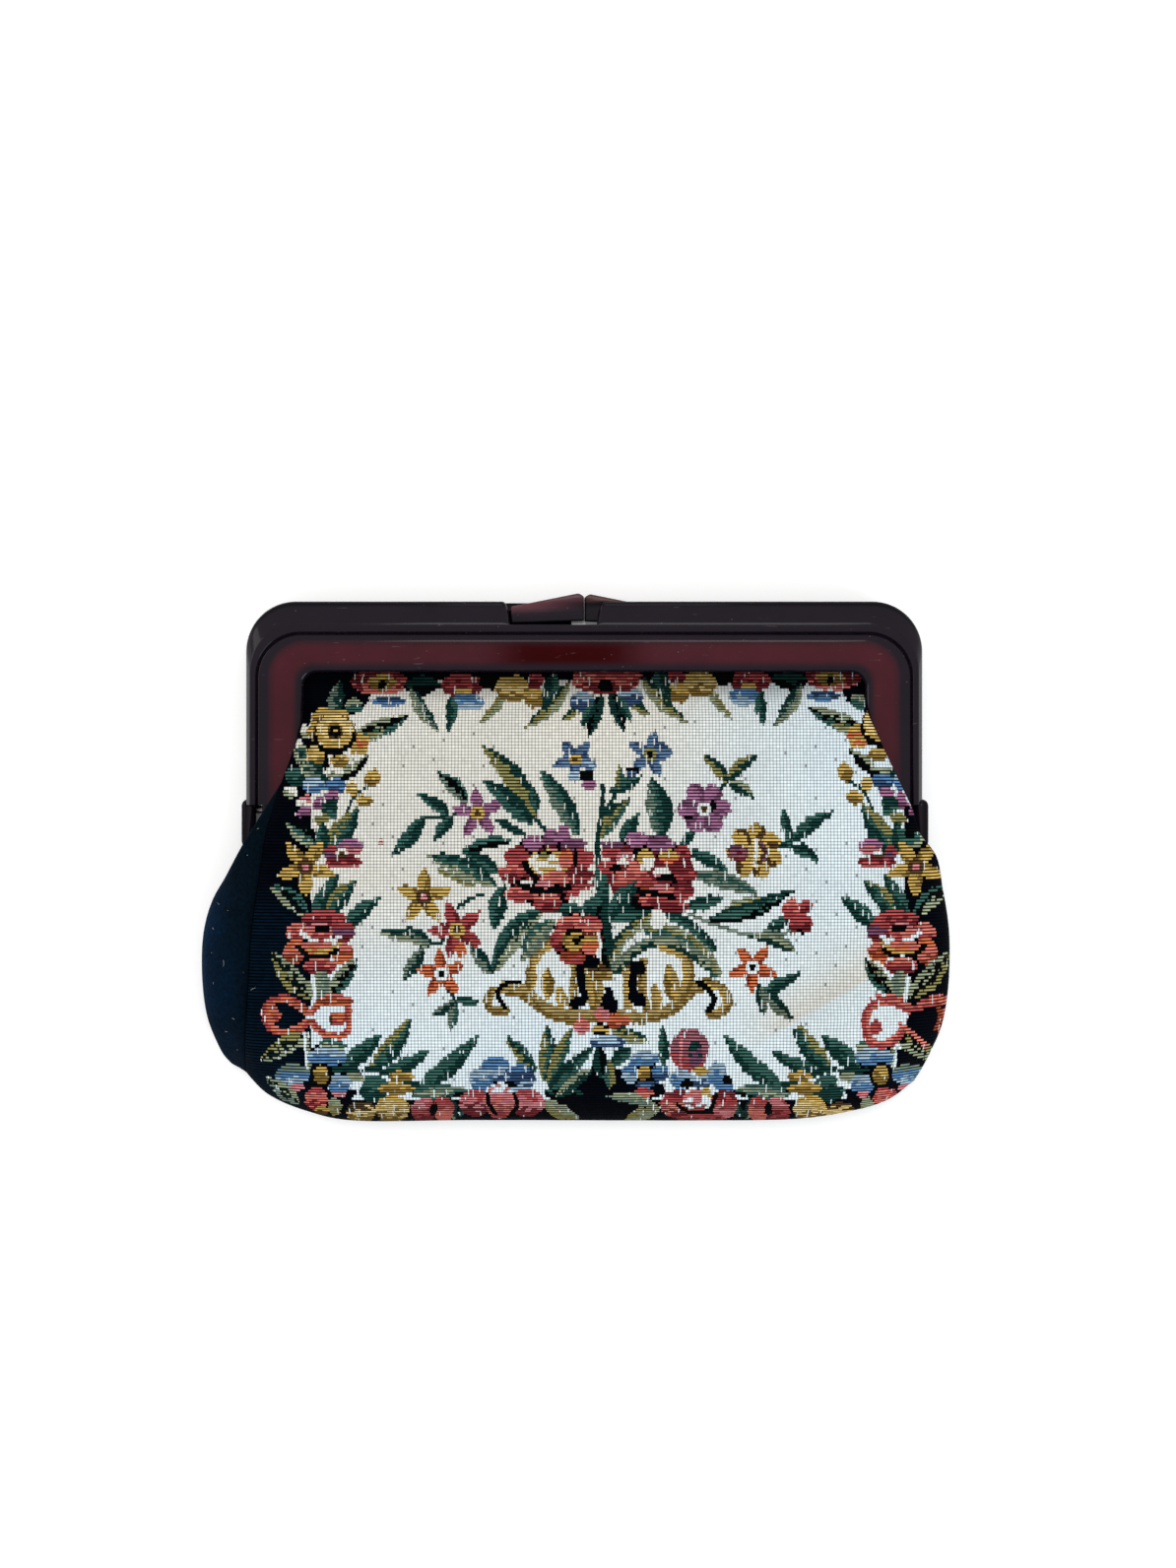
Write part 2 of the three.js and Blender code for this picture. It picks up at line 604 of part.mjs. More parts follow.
function velvetPanel() {
  const rows = ROWS_PER_SECTION * (BACK_SECTIONS.length - 1);
  const hingeRow = ROWS_PER_SECTION * BACK_HINGE_ROW;
  const across = backColumns();
  const columns = STRIP_COLUMNS + across.length - 1;
  const grid = [];
  for (let row = 0; row <= rows; row += 1) {
    const line = [];
    const position = row / ROWS_PER_SECTION;
    for (let i = 0; i < STRIP_COLUMNS; i += 1) {
      const outwards = crowded((i / STRIP_COLUMNS + 1) / 2) * 2 - 1;
      const [x, y] = stripPoint(Math.max(position, BACK_HINGE_ROW), outwards);
      line.push([x, y, frontHeight(x, y)]);
    }
    for (const share of across) {
      const [x, y] = planPoint(BACK_SECTIONS, OUTER_BOTTOM_SEAM, position, share);
      line.push([x, y, backHeight(x, y)]);
    }
    grid.push(line);
  }
  const firstBetween = STRIP_COLUMNS + BACK_SIDE_COLUMNS;
  const lastBetween = firstBetween + BACK_MIDDLE_COLUMNS;
  const hasCell = (row, column) => {
    const inside = row >= 0 && row < rows && column >= 0 && column < columns;
    const between = column >= firstBetween && column < lastBetween;
    return inside && (row >= hingeRow || between);
  };
  const level = (row, column) => row === rows || (column === columns && row > hingeRow);
  return clothWall(grid, -1, hasCell, level);
}

// Assembly

function plastic() {
  return new THREE.MeshStandardMaterial({ color: 0x3a1018, roughness: 0.22, metalness: 0 });
}

function piece(name, geometry, material) {
  const mesh = new THREE.Mesh(geometry, material);
  mesh.name = name;
  return mesh;
}

function frameGroup() {
  const group = new THREE.Group();
  group.position.set(FRAME_CENTRE_X, 0, PARTING_Z);
  const back = piece('frame_back', frameHalf(), plastic());
  back.rotation.y = Math.PI;
  const steel = () => new THREE.MeshStandardMaterial({ color: 0xb4afb0, roughness: 0.35, metalness: 1 });
  const pinFrom = TONGUE.inner + PIN_CLEARANCE;
  const pinTo = EAR.outer - PIN_CLEARANCE;
  group.add(
    piece('frame_front', frameHalf(), plastic()),
    back,
    piece('hinge_pin_left', pinCylinder(PIN_DIAMETER, -pinTo, -pinFrom), steel()),
    piece('hinge_pin_right', pinCylinder(PIN_DIAMETER, pinFrom, pinTo), steel()),
  );
  return group;
}

const bag = new THREE.Group();
bag.add(
  frameGroup(),
  piece(
    'tapestry_panel',
    tapestryPanel(),
    new THREE.MeshStandardMaterial({ color: 0xd8cfbb, roughness: 0.9, metalness: 0 }),
  ),
  piece(
    'velvet_panel',
    velvetPanel(),
    new THREE.MeshStandardMaterial({ color: 0x0b1424, roughness: 0.95, metalness: 0 }),
  ),
);

export default bag;
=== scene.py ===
import math

import bmesh
import bpy
import numpy as np
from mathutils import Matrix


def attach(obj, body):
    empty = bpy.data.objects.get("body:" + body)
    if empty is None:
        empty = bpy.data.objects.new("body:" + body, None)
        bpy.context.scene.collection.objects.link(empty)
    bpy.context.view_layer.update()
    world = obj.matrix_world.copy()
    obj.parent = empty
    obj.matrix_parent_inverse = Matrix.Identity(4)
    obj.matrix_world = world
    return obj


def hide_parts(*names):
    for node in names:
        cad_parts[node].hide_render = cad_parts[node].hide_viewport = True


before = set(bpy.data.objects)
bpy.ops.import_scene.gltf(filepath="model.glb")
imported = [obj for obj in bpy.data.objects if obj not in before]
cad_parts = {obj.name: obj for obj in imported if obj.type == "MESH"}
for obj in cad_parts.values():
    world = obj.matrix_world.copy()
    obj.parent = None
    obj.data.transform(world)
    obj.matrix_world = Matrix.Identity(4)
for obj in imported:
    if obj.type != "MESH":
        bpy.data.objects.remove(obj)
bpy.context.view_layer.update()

# Sizes are in millimetres: X across the bag, Y towards the clasp, Z up
MM = 0.001

# Keeps a division from zero
TINY = 1e-6

# The photo in pixels, a pixel's size, the height at which it has that size, and the camera straight above
PHOTO_WIDE = 1194
PHOTO_HIGH = 1592
PIXEL = 0.30
PIXEL_Z = 12.0
CAMERA_X = 3.75
CAMERA_Y = 22.8
CAMERA_DISTANCE = 550.0
CAMERA_SENSOR = 36.0
CAMERA_NEAR = 10.0

# Moulded frame: the two halves are one moulding, the back one turned half a turn
FRAME_HALF_WIDTH = 102.5
FRAME_CENTRE_X = 2.6
FRAME_TOP_Y = 78.2
LEG_END_Y = 16.5
PARTING_Z = 9.15
HOLLOW_WALL = 2.4

# Its mesh: steps round an edge of the section, a corner and a leg, spans of the section and the rail, and the
# angle from which an edge is sharp
SECTION_ROUND_STEPS = 4
LONGEST_SPAN = 2.2
MOST_EASE = 0.45
CORNER_STEPS = 22
LEG_STEPS = 9
RAIL_REACH = 74.0
RAIL_SPAN = 4.0
STATION_CLEARANCE = 1.0
EDGE_SEGMENTS = 4
SHARP_ANGLE = 38.0

# One row a line of the section: inset at the legs, inset at the top, corner radius, height above the
# parting plane, rounding of the edge there
FRAME_SECTION = [
    (0.0, 0.0, 15.0, 0.15, 0.2),
    (0.0, 0.0, 15.0, 5.6, 1.0),
    (0.4, 1.6, 15.0, 6.7, 0.8),
    (1.8, 6.8, 15.0, 9.15, 0.5),
    (3.4, 9.5, 13.5, 9.15, 0.45),
    (3.75, 9.95, 13.3, 7.7, 0.15),
    (4.1, 10.4, 13.0, 8.5, 0.35),
    (7.3, 12.2, 11.0, 9.15, 0.5),
    (15.0, 18.9, 6.0, 9.15, 1.2),
    (17.0, 21.0, 4.8, 8.5, 0.8),
    (17.6, 21.6, 4.5, 7.4, 0.6),
    (17.6, 21.6, 4.5, 6.3, 0.3),
    (4.6, 8.2, 13.0, 6.3, 0.4),
    (2.4, 2.4, 13.5, 4.2, 0.4),
    (2.4, 2.4, 13.5, 0.15, 0.2),
]
FIRST_HOLLOW_ROW = 12

# Clasp: a notch in each half's rail, and beside it a lug that reaches over the other half
NOTCH = {"near": -24.9, "far": 6.3, "floor_y": 70.8, "corner": 2.5}
NOTCH_STEPS = 8
LUG_FAR_X = 22.2
LUG_OUTLINE = [(0.03, 72.2), (LUG_FAR_X, 71.4), (LUG_FAR_X, 76.5), (1.65, 80.6), (0.03, 79.6)]
LUG_Z = (-6.5, 4.0)
LUG_ROUNDING = 0.6
# Cuts across the lug, where the painted light on its upper edge changes up its face
LUG_CUTS = (73.0, 74.2, 75.2, 76.0, 76.8, 77.6, 78.4, 79.2)

# Hinges: an ear outside one leg end and a tongue inside the other, bored for the pin
EAR = {"x": (99.8, 104.3), "y": (3.4, 18.2), "z": (-5.2, 7.6), "rounding": 2.0}
EAR_CLEARANCE = {"x": (90.0, 102.8), "y": (16.1, 30.0), "z": (-20.0, 0.15)}
TONGUE = {"x": (-97.6, -91.6), "y": (11.2, 24.0), "z": (-3.6, 6.6), "rounding": 0.8}
HINGE_Y = 15.0
BORE_RADIUS = 1.5
BORE_SIDES = 40
BORE_OVERRUN = 2.0
EAR_BORE_INWARD = 9.0

# Flange of the frame, where the plastic is thin and shows its red: the section lines at its outer and inner
# edge, and how far inside each the tone changes
FLANGE_LINES = (7, 8)
FLANGE_FADES = ((-0.68, 1.7), (-1.02, 1.7))

# Cloth of the pouch: its thickness, and the groove along the left seam
CLOTH = 1.4
SEAM_GAP = 0.1
SEAM_DIP = 0.55
SEAM_DIP_WIDTH = 1.3
SEAM_DIP_START = 12.0

# Threads of the weave and the other counts of the cloth's mesh
COLUMN_PITCH = 1.0
ROW_PITCH = 0.96
MOST_COLUMNS = 130
PROFILE_STEPS = 500
ROW_PROFILE_STEPS = 2000
MERGE_DECIMALS = 4
STRIP_COLUMNS = 16
BACK_COLUMNS = 76
VELVET_ROWS = 130

# Where the cloth is tucked under the frame's flange, and how it slopes out from there
CLOTH_TOP_Y = 61.0
CLOTH_BOTTOM_Y = -80.5
TUCK_FRONT_Z = 15.2
TUCK_BACK_Z = 3.1
FLANGE_EDGE_Y = 56.6
FLANGE_EDGE_X = 85.7
LEG_FLAT = 1.6
TOP_SLOPE = 20.0
LEG_SLOPE = 8.0
FRONT_TUCK_ENDS = (45.0, 51.5)
BACK_TUCK_END = 14.5

# Rounding of the pouch at its sides and its bottom, and the height of its outer seam
FRONT_ROUNDING = (26.0, 24.0)
BACK_ROUNDING = (10.0, 10.0)
HINGE_EDGE_Z = 20.1
SIDE_EDGE_Z = 9.0
BOTTOM_EDGE_Z = 7.0
HINGE_FALL_Y = (9.0, -14.0)
BOTTOM_FALL_Y = (-50.0, -80.0)

# Velvet back: its shoulder at the hinges, its span between the legs, the top of the strip at its left
SHOULDER_Y = 2.4
BACK_BETWEEN_LEGS = (-87.0, 92.2)
STRIP_TOP_Y = 23.0

# Left and right ends of the tapestry, from the clasp down: left x, left y, right x, right y
FRONT_SECTIONS = [
    (-87.0, 61.0, 92.2, 61.0),
    (-87.0, 57.2, 92.2, 57.4),
    (-86.4, 51.0, 90.5, 54.6),
    (-82.6, 45.6, 87.8, 51.6),
    (-82.6, 39.2, 87.8, 45.0),
    (-85.2, 31.6, 92.0, 34.6),
    (-88.4, 23.0, 96.9, 24.2),
    (-90.7, 14.6, 101.0, 15.4),
    (-92.8, 6.6, 103.4, 8.0),
    (-94.2, -3.0, 109.2, 0.4),
    (-95.6, -13.0, 112.6, -11.6),
    (-96.8, -23.4, 114.2, -24.0),
    (-97.7, -36.0, 113.9, -38.6),
    (-98.6, -48.0, 112.1, -50.0),
    (-99.6, -57.0, 108.7, -58.8),
    (-100.5, -62.8, 105.7, -65.0),
    (-101.1, -65.7, 103.8, -68.3),
]
FREE_EDGE_ROW = 3
SEAM_TOP_ROW = 6
RIGHT_HINGE_ROW = 8

# Left and right ends of the velvet back below the hinges, in the same columns
BACK_SECTIONS = [
    (-101.5, 2.4, 108.0, 1.4),
    (-106.2, -5.0, 110.4, -4.4),
    (-111.2, -13.0, 112.8, -12.6),
    (-113.9, -23.4, 114.2, -24.0),
    (-114.2, -36.0, 113.9, -38.6),
    (-112.7, -48.0, 112.1, -50.0),
    (-109.0, -58.0, 108.7, -58.8),
    (-106.9, -61.4, 105.7, -65.0),
    (-105.5, -62.9, 103.8, -68.3),
]

# Bottom seam from left to right: x, y
BOTTOM_SEAM = [
    (-105.5, -62.9),
    (-101.1, -65.7),
    (-94.0, -72.5),
    (-82.6, -77.4),
    (-67.0, -80.5),
    (-30.0, -80.3),
    (36.0, -80.4),
    (66.0, -80.0),
    (83.0, -77.8),
    (95.4, -74.2),
    (103.8, -68.3),
]

# Height of the cloth's crown by y, and the folds in it: from x, from y, to x, to y, height, spread
CROWN = [(61.0, 23.6), (20.0, 24.4), (-20.0, 25.8), (-50.0, 24.6), (-81.0, 22.0)]
FOLDS = [
    (68.0, -50.5, 89.0, -38.5, 1.4, 4.0),
    (70.0, -38.0, 94.0, -24.0, -1.7, 8.0),
    (38.0, 36.0, 54.0, 34.0, -0.9, 6.0),
    (-58.0, 32.0, -38.0, 33.0, -0.8, 6.0),
    (-56.0, -58.0, 30.0, -60.0, -0.7, 7.0),
]

# Puckers: their height, their share all over, what is added at the bottom seam, and how far that reaches.
# Each wave: its turn by x, its turn by y, its start, how much it sways
PUCKER_HEIGHT = 0.22
PUCKER_SHARE = 0.45
PUCKER_AT_SEAM = 1.3
PUCKER_REACH = 14.0
PUCKER_SWAY = 0.05
PUCKER_WAVES = [
    (0.21, 0.0, 0.0, 0.8),
    (0.33, -0.11, 1.3, 0.0),
    (0.09, 0.17, 0.4, 0.0),
]

# Wool tones of the tapestry, as screen colours
TONES = {
    "cream": (240, 239, 231),
    "navy": (2, 5, 15),
    "black": (6, 8, 10),
    "deep_green": (22, 58, 54),
    "green": (56, 98, 90),
    "grey_green": (112, 132, 118),
    "sage": (150, 160, 132),
    "olive": (140, 136, 84),
    "gold": (202, 168, 90),
    "light_gold": (228, 200, 132),
    "old_gold": (174, 151, 96),
    "dark_gold": (134, 108, 54),
    "brown": (84, 62, 38),
    "red": (174, 74, 76),
    "deep_red": (116, 42, 48),
    "coral": (212, 116, 104),
    "orange": (212, 112, 72),
    "rust": (152, 70, 46),
    "pink": (210, 128, 134),
    "mauve": (160, 106, 142),
    "plum": (116, 74, 102),
    "plum_red": (150, 92, 104),
    "blue": (86, 130, 176),
    "light_blue": (156, 184, 206),
    "deep_blue": (54, 78, 114),
    "grey_blue": (94, 122, 158),
    "stain": (216, 172, 168),
}
TONE_NAMES = list(TONES)

# Forms of the motifs: the heart and eye of a flower as shares of its radius, how far and how sharply its
# petals narrow, where a leaf is widest and how full it is
HEART_SHARE = 0.27
EYE_SHARE = 0.12
STAR_FORM = (0.66, 1.05)
ROUND_FORM = (0.25, 2.0)
LEAF_WIDEST = 0.85
LEAF_FULLNESS = 0.8
BAND_STEPS = 8

# Navy ground of the border: the cream field's edges in photo pixels
FIELD_LEFT = 316.0
FIELD_RIGHT = 918.0
FIELD_TOP = 690.0
FIELD_BOTTOM = 1116.0

# Each border is charted on the left and mirrored about an axis. Near the clasp the cloth at the right is
# pulled in and up by this much x and y
TOP_BORDER_AXIS = 614.5
SIDE_BORDER_AXIS = 620.0
BOTTOM_BORDER_AXIS = 610.0
RIGHT_PULL_SPAN = (740.0, 860.0)
TOP_RIGHT_PULL = (-2.0, 5.0)
SIDE_RIGHT_PULL = (5.0, 8.0)
NO_PULL = (0.0, 0.0)

# Motifs in photo pixels, in the order in which they lie over each other. Each row is one of:
# leaf: base x, base y, tip x, tip y, width, tones from its left to its right, bend to the right if any
# band: points along it, width, tones from its left to its right
# petal: centre x, centre y, half width, half height, tones from top to bottom, tilt in degrees if any
# star and round: centre x, centre y, radius, number of petals, turn in degrees, tones of the petals,
# their shaded sides, the heart and the eye
TOP_BORDER = [
    ("petal", 341, 700, 36, 30, "navy"),
    ("leaf", 338, 727, 345, 691, 17, "grey_green deep_green"),
    ("petal", 359, 717, 9, 8, "sage green"),
    ("petal", 385, 692, 29, 14, "red deep_red coral"),
    ("petal", 388, 693, 14, 8, "gold dark_gold"),
    ("petal", 388, 695, 4, 5, "black"),
    ("petal", 395, 712, 18, 5, "deep_blue blue"),
    ("leaf", 410, 697, 450, 695, 20, "deep_green black"),
    ("leaf", 417, 699, 446, 742, 15, "deep_green grey_green sage", 3),
    ("petal", 469, 696, 21, 12, "red deep_red"),
    ("petal", 471, 702, 8, 4, "gold"),
    ("petal", 474, 713, 18, 9, "blue light_blue"),
    ("leaf", 458, 706, 455, 743, 12, "green deep_green", -2),
    ("leaf", 514, 701, 487, 735, 10, "sage olive", -2),
    ("petal", 497, 693, 11, 8, "black"),
    ("petal", 521, 699, 18, 14, "gold light_gold dark_gold"),
    ("petal", 544, 692, 9, 8, "red deep_red"),
    ("petal", 543, 709, 12, 10, "gold dark_gold"),
    ("leaf", 563, 682, 551, 718, 17, "green deep_green", -2),
    ("leaf", 579, 692, 532, 740, 15, "sage olive deep_green", -4),
    ("leaf", 604, 703, 570, 731, 13, "olive deep_green", -2),
    ("petal", 614.5, 692, 35, 12, "red coral deep_red"),
    ("petal", 614.5, 697, 8, 6, "black"),
    ("petal", 591, 712, 13, 10, "light_blue deep_blue"),
    ("leaf", 611, 704, 597, 749, 14, "deep_green black"),
    ("leaf", 604, 712, 590, 738, 10, "deep_green green"),
]

SIDE_BORDER = [
    ("petal", 312, 775, 22, 26, "navy"),
    ("leaf", 362, 744, 416, 726, 18, "sage black green", 3),
    ("leaf", 362, 752, 392, 742, 10, "olive sage", 2),
    ("petal", 310, 742, 5, 7, "cream sage"),
    ("petal", 304, 757, 5, 7, "cream sage", -30),
    ("leaf", 326, 798, 298, 758, 20, "sage deep_green green", 2),
    ("petal", 299, 789, 9, 11, "green deep_green", -20),
    ("petal", 295, 804, 7, 7, "cream sage", 30),
    ("petal", 327, 728, 11, 9, "gold dark_gold", -20),
    ("petal", 346, 727, 9, 8, "gold dark_gold"),
    ("petal", 318, 742, 6, 10, "gold dark_gold"),
    ("petal", 364, 755, 11, 12, "gold orange gold"),
    ("petal", 320, 768, 10, 12, "light_gold gold dark_gold"),
    ("petal", 345, 773, 10, 7, "gold dark_gold"),
    ("petal", 340, 746, 22, 21, "brown black"),
    ("petal", 340, 743, 19, 18, "light_gold light_gold gold"),
    ("petal", 340, 742, 8, 8, "dark_gold brown"),
    ("petal", 340, 742, 6, 6, "black"),
    ("petal", 340, 742, 2.4, 2.4, "gold"),
    ("leaf", 340, 793, 374, 767, 13, "sage black", 2),
    ("leaf", 332, 796, 312, 772, 14, "grey_green deep_green"),
    ("petal", 339, 785, 9, 6, "cream sage"),
    ("petal", 319, 797, 11, 9, "light_blue blue"),
    ("petal", 341, 798, 11, 8, "blue deep_blue"),
    ("petal", 337, 808, 8, 5, "mauve"),
    ("petal", 312, 815, 11, 8, "pink cream mauve"),
    ("petal", 324, 816, 6, 8, "mauve plum"),
    ("petal", 308, 826, 8, 4, "mauve plum"),
    ("petal", 337, 821, 11, 10, "deep_green green"),
    ("petal", 327, 832, 9, 5, "olive", -15),
    ("band", ((374, 798), (362, 806), (356, 816), (351, 832)), 3.6, "deep_green"),
    ("band", ((346, 816), (345, 836)), 6, "cream"),
    ("petal", 378, 790, 8, 9, "gold dark_gold", 20),
    ("petal", 357, 801, 6, 7, "light_gold gold"),
    ("petal", 370, 813, 9, 6, "gold dark_gold", -10),
    ("leaf", 327, 868, 364, 819, 24, "olive green deep_green", 2),
    ("leaf", 324, 863, 291, 835, 20, "sage green black", 2),
    ("leaf", 327, 864, 328, 834, 15, "green deep_green"),
    ("petal", 356, 860, 13, 8, "mauve pink"),
    ("petal", 349, 875, 19, 7, "deep_red red"),
    ("petal", 336, 866, 7, 7, "red plum"),
    ("petal", 347, 866, 6, 4, "cream brown"),
    ("leaf", 312, 930, 274, 899, 19, "sage black green", 3),
    ("leaf", 318, 930, 343, 887, 17, "green deep_green"),
    ("leaf", 332, 930, 363, 893, 19, "olive green deep_green", -2),
    ("leaf", 350, 944, 386, 911, 17, "green deep_green", -2),
    ("star", 310, 880, 31, 5, 88, "gold dark_gold brown pink"),
    ("petal", 329, 933, 23, 9, "red deep_red"),
    ("petal", 302, 946, 12, 10, "coral red", -20),
    ("petal", 347, 946, 13, 12, "red plum deep_red"),
    ("petal", 324, 946, 14, 10, "pink coral red"),
    ("petal", 327, 943, 8, 4, "black"),
    ("band", ((306, 947), (318, 955), (332, 957), (345, 951)), 4.5, "cream"),
    ("petal", 299, 967, 11, 14, "orange coral rust", 15),
    ("petal", 347, 967, 12, 11, "coral rust orange"),
    ("petal", 322, 962, 18, 7, "coral orange"),
    ("band", ((313, 966), (330, 966), (346, 958)), 4, "gold"),
    ("band", ((301, 960), (314, 971), (330, 972), (343, 964)), 4.5, "black"),
    ("petal", 325, 981, 17, 9, "coral red deep_red"),
    ("leaf", 316, 1014, 276, 966, 22, "olive black sage", -2),
    ("leaf", 322, 1016, 328, 984, 24, "sage grey_green"),
    ("leaf", 334, 1012, 363, 972, 18, "sage black green"),
    ("band", ((318, 992), (320, 1012)), 4, "cream"),
    ("petal", 291, 1030, 24, 22, "navy"),
    ("petal", 334, 1032, 22, 20, "cream"),
    ("petal", 344, 1034, 10, 7, "coral orange red"),
    ("petal", 336, 1035, 1.8, 5, "brown"),
    ("petal", 278, 1031, 7, 8, "coral orange red"),
    ("band", ((315, 1031), (303, 1020), (290, 1014), (277, 1017), (270, 1026), (271, 1037), (278, 1045),
              (291, 1048), (303, 1044), (315, 1035)), 9, "coral orange red"),
    ("band", ((316, 1030), (323, 1020), (333, 1015), (345, 1014), (353, 1019), (354, 1033), (353, 1046),
              (346, 1052), (334, 1051), (324, 1046), (316, 1036)), 7, "coral orange red"),
    ("petal", 340, 1016, 18, 7, "coral rust orange"),
    ("petal", 315, 1033, 5, 5, "coral cream rust"),
]

BOTTOM_BORDER = [
    ("petal", 322, 1096, 44, 34, "navy"),
    ("leaf", 314, 1050, 264, 1078, 20, "sage black olive", 2),
    ("petal", 338, 1061, 14, 6, "green sage", 10),
    ("band", ((311, 1050), (313, 1082)), 6, "sage cream"),
    ("leaf", 346, 1087, 388, 1050, 19, "green deep_green"),
    ("leaf", 374, 1088, 418, 1032, 20, "olive green deep_green", 4),
    ("leaf", 384, 1092, 438, 1066, 15, "green deep_green", 2),
    ("leaf", 424, 1106, 486, 1050, 20, "green green deep_green", 4),
    ("band", ((340, 1086), (360, 1088), (384, 1087), (424, 1102)), 6, "deep_green"),
    ("leaf", 480, 1108, 410, 1107, 14, "black green"),
    ("petal", 379, 1105, 16, 14, "green deep_green"),
    ("petal", 359, 1097, 11, 9, "sage cream"),
    ("petal", 332, 1073, 20, 10, "light_blue blue"),
    ("petal", 297, 1091, 18, 11, "grey_green blue light_blue"),
    ("petal", 344, 1100, 13, 10, "light_blue blue"),
    ("petal", 326, 1092, 11, 13, "black"),
    ("petal", 326, 1091, 8, 10, "gold dark_gold"),
    ("petal", 301, 1104, 8, 4, "pink"),
    ("petal", 344, 1111, 7, 3, "pink"),
    ("petal", 321, 1115, 12, 12, "red coral deep_red"),
    ("leaf", 304, 1120, 270, 1094, 15, "grey_green black sage"),
    ("petal", 340, 1123, 7, 9, "sage olive"),
    ("petal", 327, 1128, 7, 5, "gold brown"),
    ("petal", 367, 1129, 15, 11, "brown light_gold dark_gold"),
    ("leaf", 418, 1112, 474, 1104, 12, "grey_green sage green", 2),
    ("leaf", 462, 1136, 452, 1110, 13, "sage deep_green"),
    ("leaf", 466, 1134, 480, 1112, 10, "deep_green green"),
    ("petal", 408, 1093, 13, 6, "gold dark_gold"),
    ("petal", 403, 1105, 18, 6, "gold dark_gold"),
    ("petal", 398, 1126, 17, 14, "gold light_gold dark_gold"),
    ("petal", 431, 1127, 13, 13, "pink red deep_red"),
    ("petal", 450, 1126, 11, 13, "red coral"),
    ("petal", 440, 1126, 4, 7, "black"),
]

# Bow at the right, whose loop opens to the right
RIGHT_BOW = [
    ("petal", 803, 1036, 10, 9, "cream"),
    ("petal", 897, 1034, 24, 23, "cream"),
    ("petal", 937, 1042, 17, 19, "navy"),
    ("petal", 889, 1043, 7, 7, "red"),
    ("band", ((912, 1018), (900, 1017), (888, 1019), (880, 1029), (879, 1043), (882, 1055), (894, 1060),
              (908, 1056), (915, 1047)), 9, "coral red"),
    ("band", ((905, 1018), (925, 1023), (940, 1020), (952, 1018)), 8, "coral red"),
    ("band", ((952, 1020), (955, 1032), (951, 1045)), 5, "rust"),
    ("band", ((914, 1040), (926, 1049), (940, 1062)), 5, "coral"),
]

# Middle of the bottom border, which differs left and right
BOTTOM_MIDDLE = [
    ("petal", 614, 1122, 46, 40, "navy"),
    ("petal", 572, 1110, 20, 7, "deep_green black"),
    ("petal", 660, 1106, 15, 9, "navy"),
    ("leaf", 544, 1090, 513, 1052, 16, "olive deep_green green", 2),
    ("leaf", 552, 1098, 555, 1040, 18, "olive green deep_green", 3),
    ("leaf", 556, 1100, 581, 1043, 15, "olive green"),
    ("leaf", 556, 1108, 603, 1062, 17, "deep_green green"),
    ("leaf", 564, 1114, 602, 1084, 13, "sage deep_green"),
    ("leaf", 550, 1120, 588, 1136, 15, "sage olive"),
    ("petal", 489, 1096, 13, 13, "light_blue blue"),
    ("petal", 503, 1083, 15, 11, "blue light_blue"),
    ("petal", 527, 1094, 17, 14, "blue deep_blue light_blue"),
    ("petal", 512, 1099, 13, 6, "deep_blue black"),
    ("petal", 482, 1120, 16, 14, "red pink deep_red"),
    ("petal", 535, 1120, 18, 14, "red pink deep_red"),
    ("petal", 507, 1117, 15, 19, "cream pink coral red"),
    ("band", ((495, 1110), (496, 1120), (503, 1131)), 4, "black"),
    ("band", ((522, 1110), (525, 1122), (518, 1133)), 4, "black"),
    ("petal", 591, 1042, 8, 9, "coral pink"),
    ("petal", 627, 1037, 13, 8, "orange coral rust"),
    ("petal", 611, 1030, 8, 8, "pink coral"),
    ("petal", 610, 1046, 9, 7, "black gold black"),
    ("leaf", 620, 1045, 659, 1058, 16, "deep_green olive sage"),
    ("leaf", 674, 1082, 673, 1041, 11, "green deep_green"),
    ("petal", 617, 1058, 19, 7, "light_blue deep_blue"),
    ("leaf", 612, 1094, 607, 1062, 17, "deep_green black"),
    ("leaf", 620, 1080, 642, 1064, 15, "deep_green green"),
    ("leaf", 619, 1106, 618, 1074, 12, "green olive"),
    ("petal", 655, 1088, 14, 13, "black"),
    ("petal", 654, 1075, 15, 8, "light_blue blue"),
    ("petal", 640, 1090, 9, 10, "blue light_blue"),
    ("petal", 670, 1090, 9, 9, "blue deep_blue"),
    ("petal", 655, 1101, 9, 5, "deep_blue blue"),
    ("petal", 654, 1090, 7, 7, "gold dark_gold"),
    ("petal", 654, 1109, 10, 5, "red coral"),
    ("petal", 700, 1066, 20, 21, "plum_red plum_red red"),
    ("band", ((692, 1052), (691, 1084)), 3, "pink"),
    ("petal", 706, 1070, 7, 14, "deep_green plum"),
    ("petal", 692, 1096, 12, 10, "light_blue blue"),
    ("petal", 712, 1097, 11, 8, "light_blue deep_blue"),
    ("petal", 728, 1090, 10, 13, "light_blue blue"),
    ("petal", 736, 1104, 9, 5, "blue"),
    ("petal", 698, 1101, 6, 5, "black"),
    ("petal", 738, 1097, 5, 5, "black"),
    ("petal", 711, 1087, 8, 5, "gold"),
    ("petal", 688, 1121, 18, 15, "deep_red red coral deep_red"),
    ("petal", 735, 1121, 14, 15, "deep_red red pink"),
    ("petal", 708, 1117, 15, 11, "coral pink cream red"),
    ("petal", 717, 1112, 5, 9, "gold cream"),
    ("band", ((688, 1122), (704, 1131), (720, 1129), (727, 1112)), 4, "black"),
    ("petal", 712, 1136, 26, 5, "red deep_red"),
    ("leaf", 668, 1124, 615, 1112, 12, "grey_green sage", 3),
    ("leaf", 634, 1138, 672, 1124, 14, "olive sage"),
]

